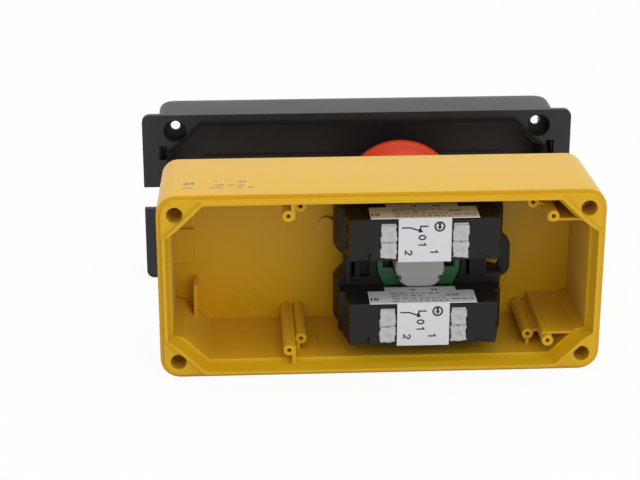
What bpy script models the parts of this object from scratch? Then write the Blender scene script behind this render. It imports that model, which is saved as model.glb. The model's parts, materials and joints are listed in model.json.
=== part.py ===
"""Mushroom push button station with its base taken off, built from separate pieces.

Metres, +Z up. The station stands on its long side. X runs along the cover, Y runs from the open rim of the
cover to its front face and on to the base, and Z is up. The origin is under the middle of the whole object.
"""
import math

import bmesh
import bpy
from mathutils import Vector

# Enclosure cover
COVER_LENGTH = 0.1398
COVER_HEIGHT = 0.0610
COVER_DEPTH = 0.0394
COVER_CORNER_RADIUS = 0.0062
COVER_DRAFT = 0.0009
COVER_BAND = 0.0050
COVER_FRONT_FILLET = 0.0016
PANEL_THICKNESS = 0.0025
WALL_THICKNESS = 0.0041
CORNER_WEB_LONG = 0.0112
CORNER_WEB_SHORT = 0.0078
CORNER_WEB_FOOT = 0.0033
CORNER_WEB_DROP = 0.0008

# Rim of the cover: a set-back flange round it, then the proud corner webs and a tongue round the opening,
# which widens towards its edge over the given depth
FLANGE_WIDTH = 0.00135
CORNER_RISE = 0.0015
TONGUE_RISE = 0.0026
TONGUE_WIDTH = 0.0010
FLARE_WIDTH = 0.0015
FLARE_DEPTH = 0.0066

# Cover screws, in line with the fixing holes of the base: their distance from the cover's edges
SCREW_INSET_X = 0.00575
SCREW_INSET_Z = 0.00585
SCREW_SHANK_RADIUS = 0.0015
SCREW_TIP_RADIUS = 0.00105
SCREW_TIP_LENGTH = 0.00075
SCREW_HEAD_RADIUS = 0.0029
SCREW_HEAD_HEIGHT = 0.0026
SCREW_LENGTH = 0.0190
SCREW_SLOT_WIDTH = 0.0008
SCREW_SLOT_DEPTH = 0.0011
SCREW_HOLE_CLEARANCE = 0.0003
SCREW_SINK = 0.0062
RIM_MOUTH_RADIUS = 0.00255
RIM_MOUTH_DEPTH = 0.0080

# Screw tubes inside the cover: place along it, distance from its long sides, and depth of the tips
TUBE_RADIUS = 0.00185
TUBE_BORE_RADIUS = 0.0007
TUBE_BORE_DEPTH = 0.0120
TUBE_WEB_THICKNESS = 0.0011
TUBE_WEB_STEP = 0.0001
TUBE_FLAT_THICKNESS = 0.0013
TUBE_FLAT_PAST_EDGE = 0.0003
TUBE_FLAT_PAST_MIDDLE = 0.0013
TUBE_TIE_THICKNESS = 0.0007
LEFT_TALL_TUBE_X = -0.0291
LEFT_SHORT_TUBE_X = -0.0250
RIGHT_TALL_TUBE_X = 0.0536
RIGHT_SHORT_TUBE_X = 0.0486
TUBE_INSET = 0.0078
RIGHT_TALL_TUBE_INSET = 0.0093
TALL_TUBE_SINK = 0.0012
SHORT_TUBE_SINK = 0.0102

# Plates between the right tall tubes and the corner webs
TUBE_PLATE_THICKNESS = 0.0008
TUBE_PLATE_SINK = 0.0033

# Moulded details on the inner side of the front panel: an upright fin in each left corner, a pad between,
# a low rib on both long walls, a round boss and a shallow round mark
FIN_REACH = 0.0075
FIN_THICKNESS = 0.0013
FIN_RISE = 0.0091
FIN_START_Z = 0.0107
PAD_REACH = 0.0067
PAD_HALF_HEIGHT = 0.0060
PAD_RISE = 0.0010
WALL_RIB_X = -0.0190
WALL_RIB_WIDTH = 0.0006
WALL_RIB_RISE = 0.0002
DISC_X = -0.0155
DISC_Z = 0.0067
DISC_RADIUS = 0.00275
DISC_RISE = 0.0011
MARK_X = -0.0427
MARK_Z = -0.0203
MARK_RADIUS = 0.0041
MARK_DEPTH = 0.0002

# Base, standing behind the cover
BASE_STANDOFF = 0.0446
BASE_EAR = 0.0058
BASE_FLANGE_THICKNESS = 0.0020
BASE_DEPTH = 0.0205
BASE_FLOOR = 0.0022
BASE_CORNER_RADIUS = 0.0026
BASE_BACK_RADIUS = 0.0060
BASE_BACK_FILLET = 0.0012
BASE_NOTCH_DEPTH = 0.0078
BASE_NOTCH_HEIGHT = 0.0080
BASE_RECESS_RADIUS = 0.0041
BASE_RECESS_DEPTH = 0.0067
BASE_HOLE_RADIUS = 0.00175
BASE_HOLE_PLATE = 0.0015
BASE_CORE_SIDE_WALL = 0.0027
BASE_CORE_LONG_WALL = 0.0030
BASE_CORE_WIDTH = 0.0045
BASE_CORE_HEIGHT = 0.0087
BASE_SLOT_WIDTH = 0.0030
BASE_SLOT_HEIGHT = 0.0052
BASE_SLOT_DEPTH = 0.0060
BASE_SLOT_DROP = 0.0080
BASE_RIB_HEIGHT = 0.0008
BASE_RIB_WIDTH = 0.0010
BASE_RIB_SPACING = 0.0180
SEAL_WIDTH = 0.0012
SEAL_HEIGHT = 0.0008

# Actuator
AXIS_X = 0.0134
COLLAR_RADIUS = 0.0110
COLLAR_BORE_RADIUS = 0.0093
COLLAR_LENGTH_BEHIND_PANEL = 0.0180
COLLAR_LEDGE_RADIUS = 0.0063
COLLAR_LEDGE_THICKNESS = 0.0014
COLLAR_LEDGE_ROOM = 0.0015
BEZEL_RADIUS = 0.0150
BEZEL_THICKNESS = 0.0030
BEZEL_CHAMFER = 0.0012
BEZEL_HUB_RADIUS = 0.0122
BEZEL_HUB_HEIGHT = 0.0047
GASKET_THICKNESS = 0.0008
NUT_RADIUS = 0.0158
NUT_THICKNESS = 0.0052
NUT_NOTCHES = 8
NUT_NOTCH_WIDTH = 0.0026
NUT_NOTCH_DEPTH = 0.0010
STEM_RADIUS = 0.0060
STEM_SHOULDER_RADIUS = 0.0086
STEM_SHOULDER_THICKNESS = 0.0020
LATCH_RING_THICKNESS = 0.0034
PLATE_THICKNESS = 0.0020
PLATE_WING_OVERLAP = 0.0014
PLATE_WING_WIDTH = 0.0070
BOSS_STEP = 0.0002
BOSS_SIDE_ROOM = 0.00095
BOSS_LENGTH = 0.0064
BOSS_CLAW_WIDTH = 0.0016
BOSS_CLAW_DEPTH = 0.0012
BOSS_CLAW_TURN = 25.0
BOSS_CHAMFER = 0.0006
SPRING_WIRE_RADIUS = 0.0005
SPRING_TURNS = 5
PRESS_TRAVEL = 0.0040

# Mushroom head
HEAD_RADIUS = 0.0200
HEAD_RIM_STANDOFF = 0.0453
HEAD_DOME_HEIGHT = 0.0083
HEAD_EDGE_RADIUS = 0.0022
HEAD_UNDERSIDE_DEPTH = 0.0080
HEAD_UNDERSIDE_CURVE = 0.55
HEAD_DOME_CURVE = 1.1
NECK_RADIUS = 0.0126
NECK_TOP_RADIUS = 0.0134
SKIRT_INSERTION = 0.0009

# Green locking ring
RING_RADIUS = 0.0135
RING_FLANGE_THICKNESS = 0.0012
RING_OPENING_RADIUS = 0.0084
RING_SKIRT_LENGTH = 0.0032
RING_KEY_WIDTH = 0.0030
RING_KEY_REACH = 0.0117

# Contact holder and its release lever
HOLDER_PLACES = 3
HOLDER_HALF_LENGTH = 0.0273
HOLDER_REAR_HALF_LENGTH = 0.0263
HOLDER_FRONT_HALF_LENGTH = 0.0235
HOLDER_SIDE_INSET = 0.00055
HOLDER_THICKNESS = 0.0132
HOLDER_WIDE_START = 0.0037
HOLDER_WIDE_END = 0.0073
HOLDER_TAPER_END = 0.0103
HOLDER_CORNER_RADIUS = 0.0022
HOLDER_SLIT_WIDTH = 0.0011
HOLDER_SLIT_HEIGHT = 0.0090
HOLDER_LEFT_SLIT_X = -0.0212
HOLDER_RIGHT_SLIT_X = 0.0160
HOLDER_WINDOW_HEIGHT = 0.0080
HOLDER_POCKET_DEPTH = 0.0022
HOLDER_POST_HEIGHT = 0.0110
HOLDER_POST_THICKNESS = 0.0013
HOLDER_POST_SIDE_ROOM = 0.00095
HOLDER_POST_FOOT = 0.0033
HOLDER_NOTCH_DEPTH = 0.0033
HOLDER_NOTCH_OUTER_HALF = 0.0066
HOLDER_NOTCH_INNER_HALF = 0.0031
LEVER_THICKNESS = 0.0026
LEVER_HUB_RADIUS = 0.0134
LEVER_HALF_HEIGHT = 0.0074
LEVER_REACH = 0.0304
LEVER_BAND = 0.0036
LEVER_HOLE_START = 0.0221
LEVER_HOLE_HALF_HEIGHT = 0.0037
LEVER_HOLE_CORNER_RADIUS = 0.0012
LEVER_CORNER_RADIUS = 0.0040
LEVER_SWING_DEGREES = 20.0

# Contact blocks, two of them in the outer places of a holder with three
BLOCK_SIDE_ROOM = 0.00495
BLOCK_DEPTH = 0.0163
BLOCK_REAR_HALF_LENGTH = 0.0233
BLOCK_STEP_HALF_LENGTH = 0.0250
BLOCK_GROOVE_HALF_LENGTH = 0.0243
BLOCK_FRONT_HALF_LENGTH = 0.0261
BLOCK_STEP_DEPTH = 0.0078
BLOCK_GROOVE_WIDTH = 0.0026
BLOCK_GROOVE_SLOPE = 0.0012
BLOCK_CHAMFER = 0.0004
CHAMBER_SIDE_WALL = 0.00155
CHAMBER_FLOOR = 0.0026
CHAMBER_ROOF = 0.0035
CHANNEL_SIDE_ROOM = 0.0005
CHANNEL_END_ROOM = 0.0007
PLUNGER_HALF_WIDTH = 0.0026
PLUNGER_LENGTH = 0.0070
BRIDGE_HALF_LENGTH = 0.0070
BRIDGE_END_ROOM = 0.0004
BRIDGE_THICKNESS = 0.0008
BRIDGE_HALF_WIDTH = 0.0016
CONTACT_THICKNESS = 0.0006
CONTACT_START = 0.0040
CONTACT_END = 0.0134
CONTACT_SPRING_RADIUS = 0.0022
CONTACT_SPRING_WIRE = 0.00025
CONTACT_SPRING_TURNS = 4
TERMINAL_X = 0.0113
TERMINAL_WIDTH = 0.0046
TERMINAL_SIDE_WALL = 0.00175
TERMINAL_LENGTH = 0.0082
TERMINAL_EDGE_RADIUS = 0.0006
TERMINAL_CHAMFER = 0.0003
TERMINAL_DIMPLE_RADIUS = 0.0011
WIRE_HOLE_RADIUS = 0.0014
WIRE_HOLE_DEPTH_FROM_REAR = 0.0040
RAMP_START = 0.0205
RAMP_END = 0.0170
RAMP_HEIGHT = 0.0028
RAMP_DEPTH = 0.0030

# Block labels, bent over the upper edge of each block
LABEL_THICKNESS = 0.00025
LABEL_HALF_WIDTH = 0.0083
LABEL_SIDE_HALF_LENGTH = 0.0170
LABEL_SIDE_DEPTH = 0.0094
LABEL_TONGUE_HALF_LENGTH = 0.0114
LABEL_TONGUE_DEPTH = 0.0126

# Clearances
SEAT_GAP = 0.0003
RUNNING_GAP = 0.0003
HOLE_GAP = 0.0002

# How round the round parts are
ROUND_STEPS = 40
STEM_STEPS = 32
SMALL_ROUND_STEPS = 16
CORNER_STEPS = 5
SMALL_CORNER_STEPS = 3
TERMINAL_CORNER_STEPS = 2
HEAD_STEPS = 8
WIRE_HOLE_STEPS = 10
SPRING_STEPS = 12
SPRING_SIDES = 5
OVERSHOOT = 0.0010

# How far the corners of the opening's outline move when it is grown, as a share of the growth
START_SPREAD = 0.5
KNEE_SPREAD = 0.8
FOOT_SPREAD = 0.4

# The flare of the opening at the rim, as shares of its depth and of its width
FLARE_CURVE = ((0.0, 1.0), (0.68, 0.73), (0.92, 0.36), (1.0, 0.0))

# Places that follow from the cover's sides
SCREW_X = COVER_LENGTH / 2 - SCREW_INSET_X
SCREW_Z = COVER_HEIGHT / 2 - SCREW_INSET_Z
BLOCK_PITCH = (COVER_HEIGHT - 2 * WALL_THICKNESS - 2 * BLOCK_SIDE_ROOM) / HOLDER_PLACES
BLOCK_THICKNESS = BLOCK_PITCH
HOLDER_HALF_HEIGHT = HOLDER_PLACES * BLOCK_PITCH / 2 - HOLDER_SIDE_INSET
CHAMBER_HALF_HEIGHT = BLOCK_THICKNESS / 2 - CHAMBER_SIDE_WALL
CHAMBER_HALF_LENGTH = BRIDGE_HALF_LENGTH + BRIDGE_END_ROOM
PLUNGER_HALF_HEIGHT = CHAMBER_HALF_HEIGHT - RUNNING_GAP
TERMINAL_HALF_HEIGHT = BLOCK_THICKNESS / 2 - TERMINAL_SIDE_WALL
PLATE_RADIUS = RING_OPENING_RADIUS - RUNNING_GAP
BOSS_RADIUS = PLATE_RADIUS - BOSS_STEP
PLATE_WING_REACH = BLOCK_PITCH - PLUNGER_HALF_HEIGHT + PLATE_WING_OVERLAP
BOSS_HALF_FLAT = BLOCK_PITCH / 2 - BOSS_SIDE_ROOM
CHANNEL_HALF_WIDTH = PLATE_WING_WIDTH / 2 + CHANNEL_SIDE_ROOM

# Where the cover's own frame lies: its rim plane, the middle of its height and the middle of its length
COVER_SHIFT_X = 0.0017
BASE_PLANE = COVER_DEPTH + BASE_STANDOFF
RIM_Y = -(BASE_PLANE + BASE_DEPTH - TONGUE_RISE) / 2
MIDDLE_Z = COVER_HEIGHT / 2
PANEL_BACK = COVER_DEPTH - PANEL_THICKNESS

# Planes of the actuator and the contacts, counted from the rim plane towards the front
COLLAR_BACK = PANEL_BACK - COLLAR_LENGTH_BEHIND_PANEL
GASKET_BACK = COVER_DEPTH + SEAT_GAP
BEZEL_BACK = GASKET_BACK + GASKET_THICKNESS + SEAT_GAP
BEZEL_FRONT = BEZEL_BACK + BEZEL_THICKNESS + BEZEL_HUB_HEIGHT
PLATE_BACK = COLLAR_BACK + SEAT_GAP
PLATE_FRONT = PLATE_BACK + PLATE_THICKNESS
LEDGE_BACK = PLATE_FRONT + COLLAR_LEDGE_ROOM
LEDGE_FRONT = LEDGE_BACK + COLLAR_LEDGE_THICKNESS
LATCH_BACK = COVER_DEPTH + SEAT_GAP
SHOULDER_FRONT = LATCH_BACK - SEAT_GAP
SHOULDER_BACK = SHOULDER_FRONT - STEM_SHOULDER_THICKNESS
RING_BACK = COLLAR_BACK - SEAT_GAP - RING_FLANGE_THICKNESS
BLOCK_FRONT = RING_BACK - SEAT_GAP
BLOCK_BACK = BLOCK_FRONT - BLOCK_DEPTH
CHANNEL_DEPTH = BLOCK_FRONT - (PLATE_BACK - PRESS_TRAVEL) + CHANNEL_END_ROOM
HOLDER_BACK = BLOCK_FRONT + SEAT_GAP
HOLDER_FRONT = HOLDER_BACK + HOLDER_THICKNESS
LEVER_BACK = COLLAR_BACK + RING_SKIRT_LENGTH + SEAT_GAP
HEAD_RIM_Y = COVER_DEPTH + HEAD_RIM_STANDOFF
HEAD_TOP_Y = HEAD_RIM_Y + HEAD_DOME_HEIGHT
NECK_BACK = BEZEL_FRONT + PRESS_TRAVEL + SEAT_GAP
SKIRT_BACK = BEZEL_FRONT - SKIRT_INSERTION


def clear_scene():
    for item in list(bpy.data.objects):
        bpy.data.objects.remove(item, do_unlink=True)


def material(name, colour, roughness, metallic=0.0):
    made = bpy.data.materials.new(name)
    made.use_nodes = True
    shader = made.node_tree.nodes["Principled BSDF"]
    shader.inputs["Base Color"].default_value = (*colour, 1.0)
    shader.inputs["Roughness"].default_value = roughness
    shader.inputs["Metallic"].default_value = metallic
    return made


def empty(name, location, parent=None):
    made = bpy.data.objects.new(name, None)
    bpy.context.collection.objects.link(made)
    made.parent = parent
    made.location = location
    return made


def finish_mesh(name, bm, parent, finish=None, smooth=False, location=(0, 0, 0)):
    """Turn a bmesh into an object on its parent, with all faces pointing out."""
    bmesh.ops.recalc_face_normals(bm, faces=bm.faces)
    mesh = bpy.data.meshes.new(name)
    bm.to_mesh(mesh)
    bm.free()
    if smooth:
        mesh.shade_smooth()
        mesh.set_sharp_from_angle(angle=math.radians(35))
    made = bpy.data.objects.new(name, mesh)
    bpy.context.collection.objects.link(made)
    made.parent = parent
    made.location = location
    if finish:
        mesh.materials.append(finish)
    return made


def add_loft(bm, sections):
    """Close a solid over outlines in XZ, each given with its own y."""
    rings = [[bm.verts.new((x, y, z)) for x, z in outline] for y, outline in sections]
    for near, far in zip(rings, rings[1:]):
        for index in range(len(near)):
            after = (index + 1) % len(near)
            bm.faces.new((near[index], near[after], far[after], far[index]))
    bm.faces.new(rings[0])
    bm.faces.new(reversed(rings[-1]))


def add_box(bm, low, high):
    add_loft(bm, [(y, [(low[0], low[2]), (high[0], low[2]), (high[0], high[2]), (low[0], high[2])])
                  for y in (low[1], high[1])])


def add_turned(bm, profile, centre=(0.0, 0.0), steps=ROUND_STEPS):
    """Turn a profile of (radius, y) points about Y. A profile that starts on the axis also ends there."""
    solid = profile[0][0] == 0
    rings = []
    for radius, y in profile:
        if radius == 0:
            rings.append([bm.verts.new((centre[0], y, centre[1]))] * steps)
            continue
        turns = [2 * math.pi * step / steps for step in range(steps)]
        rings.append([bm.verts.new((centre[0] + radius * math.cos(turn), y,
                                    centre[1] + radius * math.sin(turn))) for turn in turns])
    pairs = list(zip(rings, rings[1:])) if solid else list(zip(rings, rings[1:] + rings[:1]))
    for near, far in pairs:
        for index in range(steps):
            after = (index + 1) % steps
            corners = [near[index], near[after], far[after], far[index]]
            corners = [corner for place, corner in enumerate(corners) if corner not in corners[:place]]
            bm.faces.new(corners)


def loft(name, sections, parent, finish=None, smooth=False):
    bm = bmesh.new()
    add_loft(bm, sections)
    return finish_mesh(name, bm, parent, finish, smooth)


def boxes(name, pairs, parent, finish=None):
    bm = bmesh.new()
    for low, high in pairs:
        add_box(bm, low, high)
    return finish_mesh(name, bm, parent, finish)


def turned(name, profile, parent, finish=None, centres=((0.0, 0.0),), steps=ROUND_STEPS):
    bm = bmesh.new()
    for centre in centres:
        add_turned(bm, profile, centre, steps)
    return finish_mesh(name, bm, parent, finish, smooth=True)


def combine(target, tool, operation):
    """Cut or join with a Boolean, and keep the tool as a wire guide."""
    tool.hide_render = True
    tool.display_type = "WIRE"
    modifier = target.modifiers.new(tool.name, "BOOLEAN")
    modifier.operation = operation
    modifier.solver = "EXACT"
    modifier.object = tool


def cut(target, tool):
    combine(target, tool, "DIFFERENCE")


def join(target, tool):
    combine(target, tool, "UNION")


def rounded_rectangle(half_x, half_z, radius, steps=CORNER_STEPS):
    """Outline in XZ, centred, with round corners."""
    points = []
    for corner, (sign_x, sign_z) in enumerate(((1, 1), (-1, 1), (-1, -1), (1, -1))):
        for step in range(steps + 1):
            turn = math.pi / 2 * (corner + step / steps)
            points.append((sign_x * (half_x - radius) + radius * math.cos(turn),
                           sign_z * (half_z - radius) + radius * math.sin(turn)))
    return points


def four_ways(half_x, half_z):
    return [(x, z) for x in (-half_x, half_x) for z in (-half_z, half_z)]


def opening_outline(grow):
    """The opening of cover and base, with webs across its corners, grown outwards by a distance."""
    half_x = COVER_LENGTH / 2 - WALL_THICKNESS
    half_z = COVER_HEIGHT / 2 - WALL_THICKNESS
    start = (half_x - CORNER_WEB_LONG + grow * START_SPREAD, half_z + grow)
    knee = (half_x - CORNER_WEB_FOOT + grow * KNEE_SPREAD, half_z - CORNER_WEB_SHORT + grow * KNEE_SPREAD)
    foot = (half_x + grow, half_z - CORNER_WEB_SHORT - CORNER_WEB_DROP - grow * FOOT_SPREAD)
    quarter = [start, knee, foot]
    points = [(x, z) for x, z in reversed(quarter)]
    points += [(-x, z) for x, z in quarter]
    points += [(-x, -z) for x, z in reversed(quarter)]
    points += [(x, -z) for x, z in quarter]
    return points


def helix(name, radius, wire, start, end, turns, parent, finish):
    """A coil spring as a closed tube along a helix about Y."""
    bm = bmesh.new()
    rings = []
    count = turns * SPRING_STEPS
    for step in range(count + 1):
        turn = 2 * math.pi * step / SPRING_STEPS
        outward = Vector((math.cos(turn), 0, math.sin(turn)))
        middle = outward * radius + Vector((0, start + (end - start) * step / count, 0))
        ring = []
        for side in range(SPRING_SIDES):
            angle = 2 * math.pi * side / SPRING_SIDES
            ring.append(bm.verts.new(middle + outward * wire * math.cos(angle)
                                     + Vector((0, wire * math.sin(angle), 0))))
        rings.append(ring)
    for near, far in zip(rings, rings[1:]):
        for side in range(SPRING_SIDES):
            after = (side + 1) % SPRING_SIDES
            bm.faces.new((near[side], near[after], far[after], far[side]))
    bm.faces.new(rings[0])
    bm.faces.new(reversed(rings[-1]))
    return finish_mesh(name, bm, parent, finish, smooth=True)


def make_cover(frame, finish):
    half_x = COVER_LENGTH / 2
    half_z = COVER_HEIGHT / 2
    proud = rounded_rectangle(half_x - FLANGE_WIDTH, half_z - FLANGE_WIDTH,
                              COVER_CORNER_RADIUS - FLANGE_WIDTH)
    sections = [(y, proud) for y in (-CORNER_RISE, 0.0)]
    sections += [(y, rounded_rectangle(half_x, half_z, COVER_CORNER_RADIUS)) for y in (0.0, COVER_BAND)]
    fillet_start = COVER_DEPTH - COVER_FRONT_FILLET
    for step in range(CORNER_STEPS):
        turn = math.pi / 2 * step / (CORNER_STEPS - 1)
        y = fillet_start + COVER_FRONT_FILLET * math.sin(turn)
        inset = COVER_DRAFT + COVER_FRONT_FILLET * (1 - math.cos(turn))
        sections.append((y, rounded_rectangle(half_x - inset, half_z - inset, COVER_CORNER_RADIUS - inset)))
    shell = loft("cover_shell", sections, frame, finish, smooth=True)
    tongue = opening_outline(FLARE_WIDTH + TONGUE_WIDTH)
    join(shell, loft("cover_tongue", [(y, tongue) for y in (-TONGUE_RISE, COVER_BAND)], frame))
    flare = [(-TONGUE_RISE - OVERSHOOT, opening_outline(FLARE_WIDTH))]
    for depth, width in FLARE_CURVE:
        flare.append((depth * FLARE_DEPTH - TONGUE_RISE, opening_outline(width * FLARE_WIDTH)))
    flare.append((PANEL_BACK, opening_outline(0.0)))
    cut(shell, loft("cover_cavity_cutter", flare, frame))
    join(shell, panel_details(frame))
    make_tubes(shell, frame)
    cut(shell, screw_hole_cutter(frame))
    hole = COLLAR_RADIUS + HOLE_GAP
    cut(shell, turned("actuator_hole_cutter",
                      [(0, PANEL_BACK - OVERSHOOT), (hole, PANEL_BACK - OVERSHOOT),
                       (hole, COVER_DEPTH + OVERSHOOT), (0, COVER_DEPTH + OVERSHOOT)],
                      frame, centres=((AXIS_X, 0.0),)))
    mark = [(0, PANEL_BACK - OVERSHOOT), (MARK_RADIUS, PANEL_BACK - OVERSHOOT),
            (MARK_RADIUS, PANEL_BACK + MARK_DEPTH), (0, PANEL_BACK + MARK_DEPTH)]
    cut(shell, turned("panel_mark_cutter", mark, frame, centres=((MARK_X, MARK_Z),), steps=SMALL_ROUND_STEPS))
    return shell


def panel_details(frame):
    """Pad and fins at the left end of the panel, its round boss, and low ribs on the long walls."""
    root = PANEL_BACK + PANEL_THICKNESS / 2
    wall = -(COVER_LENGTH / 2 - WALL_THICKNESS)
    outside = wall - WALL_THICKNESS / 2
    inner_z = COVER_HEIGHT / 2 - WALL_THICKNESS
    buried_z = inner_z + WALL_THICKNESS / 2
    fin_x = wall + FIN_REACH
    details = bmesh.new()
    add_box(details, (outside, PANEL_BACK - PAD_RISE, -PAD_HALF_HEIGHT),
            (wall + PAD_REACH, root, PAD_HALF_HEIGHT))
    add_turned(details, [(0, PANEL_BACK - DISC_RISE), (DISC_RADIUS, PANEL_BACK - DISC_RISE),
                         (DISC_RADIUS, root), (0, root)], (DISC_X, DISC_Z), SMALL_ROUND_STEPS)
    for side in (1, -1):
        low, high = sorted((side * FIN_START_Z, side * buried_z))
        add_box(details, (fin_x - FIN_THICKNESS, PANEL_BACK - FIN_RISE, low), (fin_x, root, high))
        low, high = sorted((side * (inner_z - WALL_RIB_RISE), side * buried_z))
        add_box(details, (WALL_RIB_X - WALL_RIB_WIDTH / 2, FLARE_DEPTH - TONGUE_RISE, low),
                (WALL_RIB_X + WALL_RIB_WIDTH / 2, root, high))
    return finish_mesh("panel_details", details, frame)


def tube_places():
    """Each screw tube: x, z, the depth of its tip below the rim, its web's x offsets and reach past it."""
    middle = (-TUBE_WEB_THICKNESS / 2, TUBE_WEB_THICKNESS / 2, 0.0)
    flat_edge = TUBE_RADIUS + TUBE_FLAT_PAST_EDGE
    flat = (flat_edge - TUBE_FLAT_THICKNESS, flat_edge, TUBE_FLAT_PAST_MIDDLE)
    left_half = (-TUBE_WEB_THICKNESS - TUBE_BORE_RADIUS / 2, -TUBE_BORE_RADIUS / 2, 0.0)
    places = []
    for side in (1, -1):
        near = side * (COVER_HEIGHT / 2 - TUBE_INSET)
        places.append((LEFT_TALL_TUBE_X, near, TALL_TUBE_SINK, flat))
        places.append((LEFT_SHORT_TUBE_X, near, SHORT_TUBE_SINK, left_half))
        places.append((RIGHT_SHORT_TUBE_X, near, SHORT_TUBE_SINK, middle))
        far = side * (COVER_HEIGHT / 2 - RIGHT_TALL_TUBE_INSET)
        places.append((RIGHT_TALL_TUBE_X, far, TALL_TUBE_SINK, None))
    return places


def make_tubes(shell, frame):
    """Hollow screw tubes that stand on the panel, tied to the long walls and to the right corner webs."""
    root = PANEL_BACK + PANEL_THICKNESS / 2
    wall = COVER_HEIGHT / 2 - WALL_THICKNESS / 2
    bodies = bmesh.new()
    bores = bmesh.new()
    webs = []
    for x, z, sink, web in tube_places():
        add_turned(bodies, [(0, sink), (TUBE_RADIUS, sink), (TUBE_RADIUS, root), (0, root)], (x, z),
                   SMALL_ROUND_STEPS)
        bottom = sink + TUBE_BORE_DEPTH
        add_turned(bores, [(0, sink - OVERSHOOT), (TUBE_BORE_RADIUS, sink - OVERSHOOT),
                           (TUBE_BORE_RADIUS, bottom), (0, bottom)], (x, z), WIRE_HOLE_STEPS)
        if web:
            left, right, past = web
            low, high = sorted((math.copysign(wall, z), z - math.copysign(past, z)))
            webs.append(((x + left, sink + TUBE_WEB_STEP, low), (x + right, root, high)))
    join(shell, finish_mesh("tube_bodies", bodies, frame))
    join(shell, boxes("tube_webs", webs, frame))
    plates, necks, ties = tube_plates(root)
    join(shell, boxes("tube_plates", plates, frame))
    join(shell, boxes("tube_necks", necks, frame))
    join(shell, finish_mesh("tube_ties", ties, frame))
    cut(shell, finish_mesh("tube_bores", bores, frame))


def tube_plates(root):
    """Plates from the right tall tubes to the corner webs, their necks, and the ties between the tubes."""
    tall_z = COVER_HEIGHT / 2 - RIGHT_TALL_TUBE_INSET
    short_z = COVER_HEIGHT / 2 - TUBE_INSET
    edge_z = tall_z - TUBE_RADIUS - TUBE_PLATE_THICKNESS / 2
    left = RIGHT_TALL_TUBE_X - TUBE_RADIUS + HOLE_GAP
    right = RIGHT_TALL_TUBE_X + TUBE_RADIUS - HOLE_GAP
    web_x = COVER_LENGTH / 2 - WALL_THICKNESS - CORNER_WEB_FOOT / 2
    half_tie = TUBE_TIE_THICKNESS / 2
    plates = []
    necks = []
    ties = bmesh.new()
    tie_start = SHORT_TUBE_SINK + TUBE_RADIUS / 2
    for side in (1, -1):
        low, high = sorted((side * edge_z, side * (edge_z + TUBE_PLATE_THICKNESS)))
        plates.append(((left + HOLE_GAP, TUBE_PLATE_SINK, low), (web_x, root, high)))
        low, high = sorted((side * (edge_z + TUBE_PLATE_THICKNESS / 2), side * tall_z))
        necks.append(((left, TUBE_PLATE_SINK, low), (right, root, high)))
        tie = [(RIGHT_SHORT_TUBE_X - half_tie, side * (short_z - half_tie)),
               (RIGHT_SHORT_TUBE_X + half_tie, side * (short_z + half_tie)),
               (RIGHT_TALL_TUBE_X + half_tie, side * (tall_z + half_tie)),
               (RIGHT_TALL_TUBE_X - half_tie, side * (tall_z - half_tie))]
        add_loft(ties, [(y, tie) for y in (tie_start, root)])
        add_box(ties, (LEFT_TALL_TUBE_X, tie_start, side * short_z - half_tie),
                (LEFT_SHORT_TUBE_X, root, side * short_z + half_tie))
    return plates, necks, ties


def screw_hole_cutter(frame):
    """Stepped holes in the cover's corners: a mouth at the rim, a shank hole and a sunk seat for the head."""
    shank = SCREW_SHANK_RADIUS + SCREW_HOLE_CLEARANCE
    head = SCREW_HEAD_RADIUS + SCREW_HOLE_CLEARANCE
    seat = COVER_DEPTH - SCREW_SINK - SCREW_HEAD_HEIGHT - SEAT_GAP
    start = -CORNER_RISE - OVERSHOOT
    profile = [(0, start), (RIM_MOUTH_RADIUS, start), (RIM_MOUTH_RADIUS, RIM_MOUTH_DEPTH),
               (shank, RIM_MOUTH_DEPTH), (shank, seat), (head, seat), (head, COVER_DEPTH + OVERSHOOT),
               (0, COVER_DEPTH + OVERSHOOT)]
    return turned("screw_hole_cutter", profile, frame,
                  centres=four_ways(SCREW_X, SCREW_Z), steps=SMALL_ROUND_STEPS + 4)


def make_cover_screws(frame, finish):
    """Slotted screws that stay in the cover, with their heads sunk below its front face."""
    head_front = COVER_DEPTH - SCREW_SINK
    head_back = head_front - SCREW_HEAD_HEIGHT
    tip = head_back - SCREW_LENGTH
    profile = [(0, tip), (SCREW_TIP_RADIUS, tip), (SCREW_SHANK_RADIUS, tip + SCREW_TIP_LENGTH),
               (SCREW_SHANK_RADIUS, head_back), (SCREW_HEAD_RADIUS, head_back),
               (SCREW_HEAD_RADIUS, head_front - SCREW_SLOT_DEPTH / 2),
               (SCREW_HEAD_RADIUS - SCREW_SLOT_DEPTH / 2, head_front), (0, head_front)]
    for number, (x, z) in enumerate(four_ways(SCREW_X, SCREW_Z), start=1):
        place = empty(f"cover_screw_axis_{number}", (x, 0, z), frame)
        screw = turned(f"cover_screw_{number}", profile, place, finish, steps=SMALL_ROUND_STEPS)
        reach = SCREW_HEAD_RADIUS + OVERSHOOT
        half_slot = SCREW_SLOT_WIDTH / 2
        slot = ((-reach, head_front - SCREW_SLOT_DEPTH, -half_slot),
                (reach, head_front + OVERSHOOT, half_slot))
        cut(screw, boxes(f"screw_slot_cutter_{number}", [slot], place))


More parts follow.
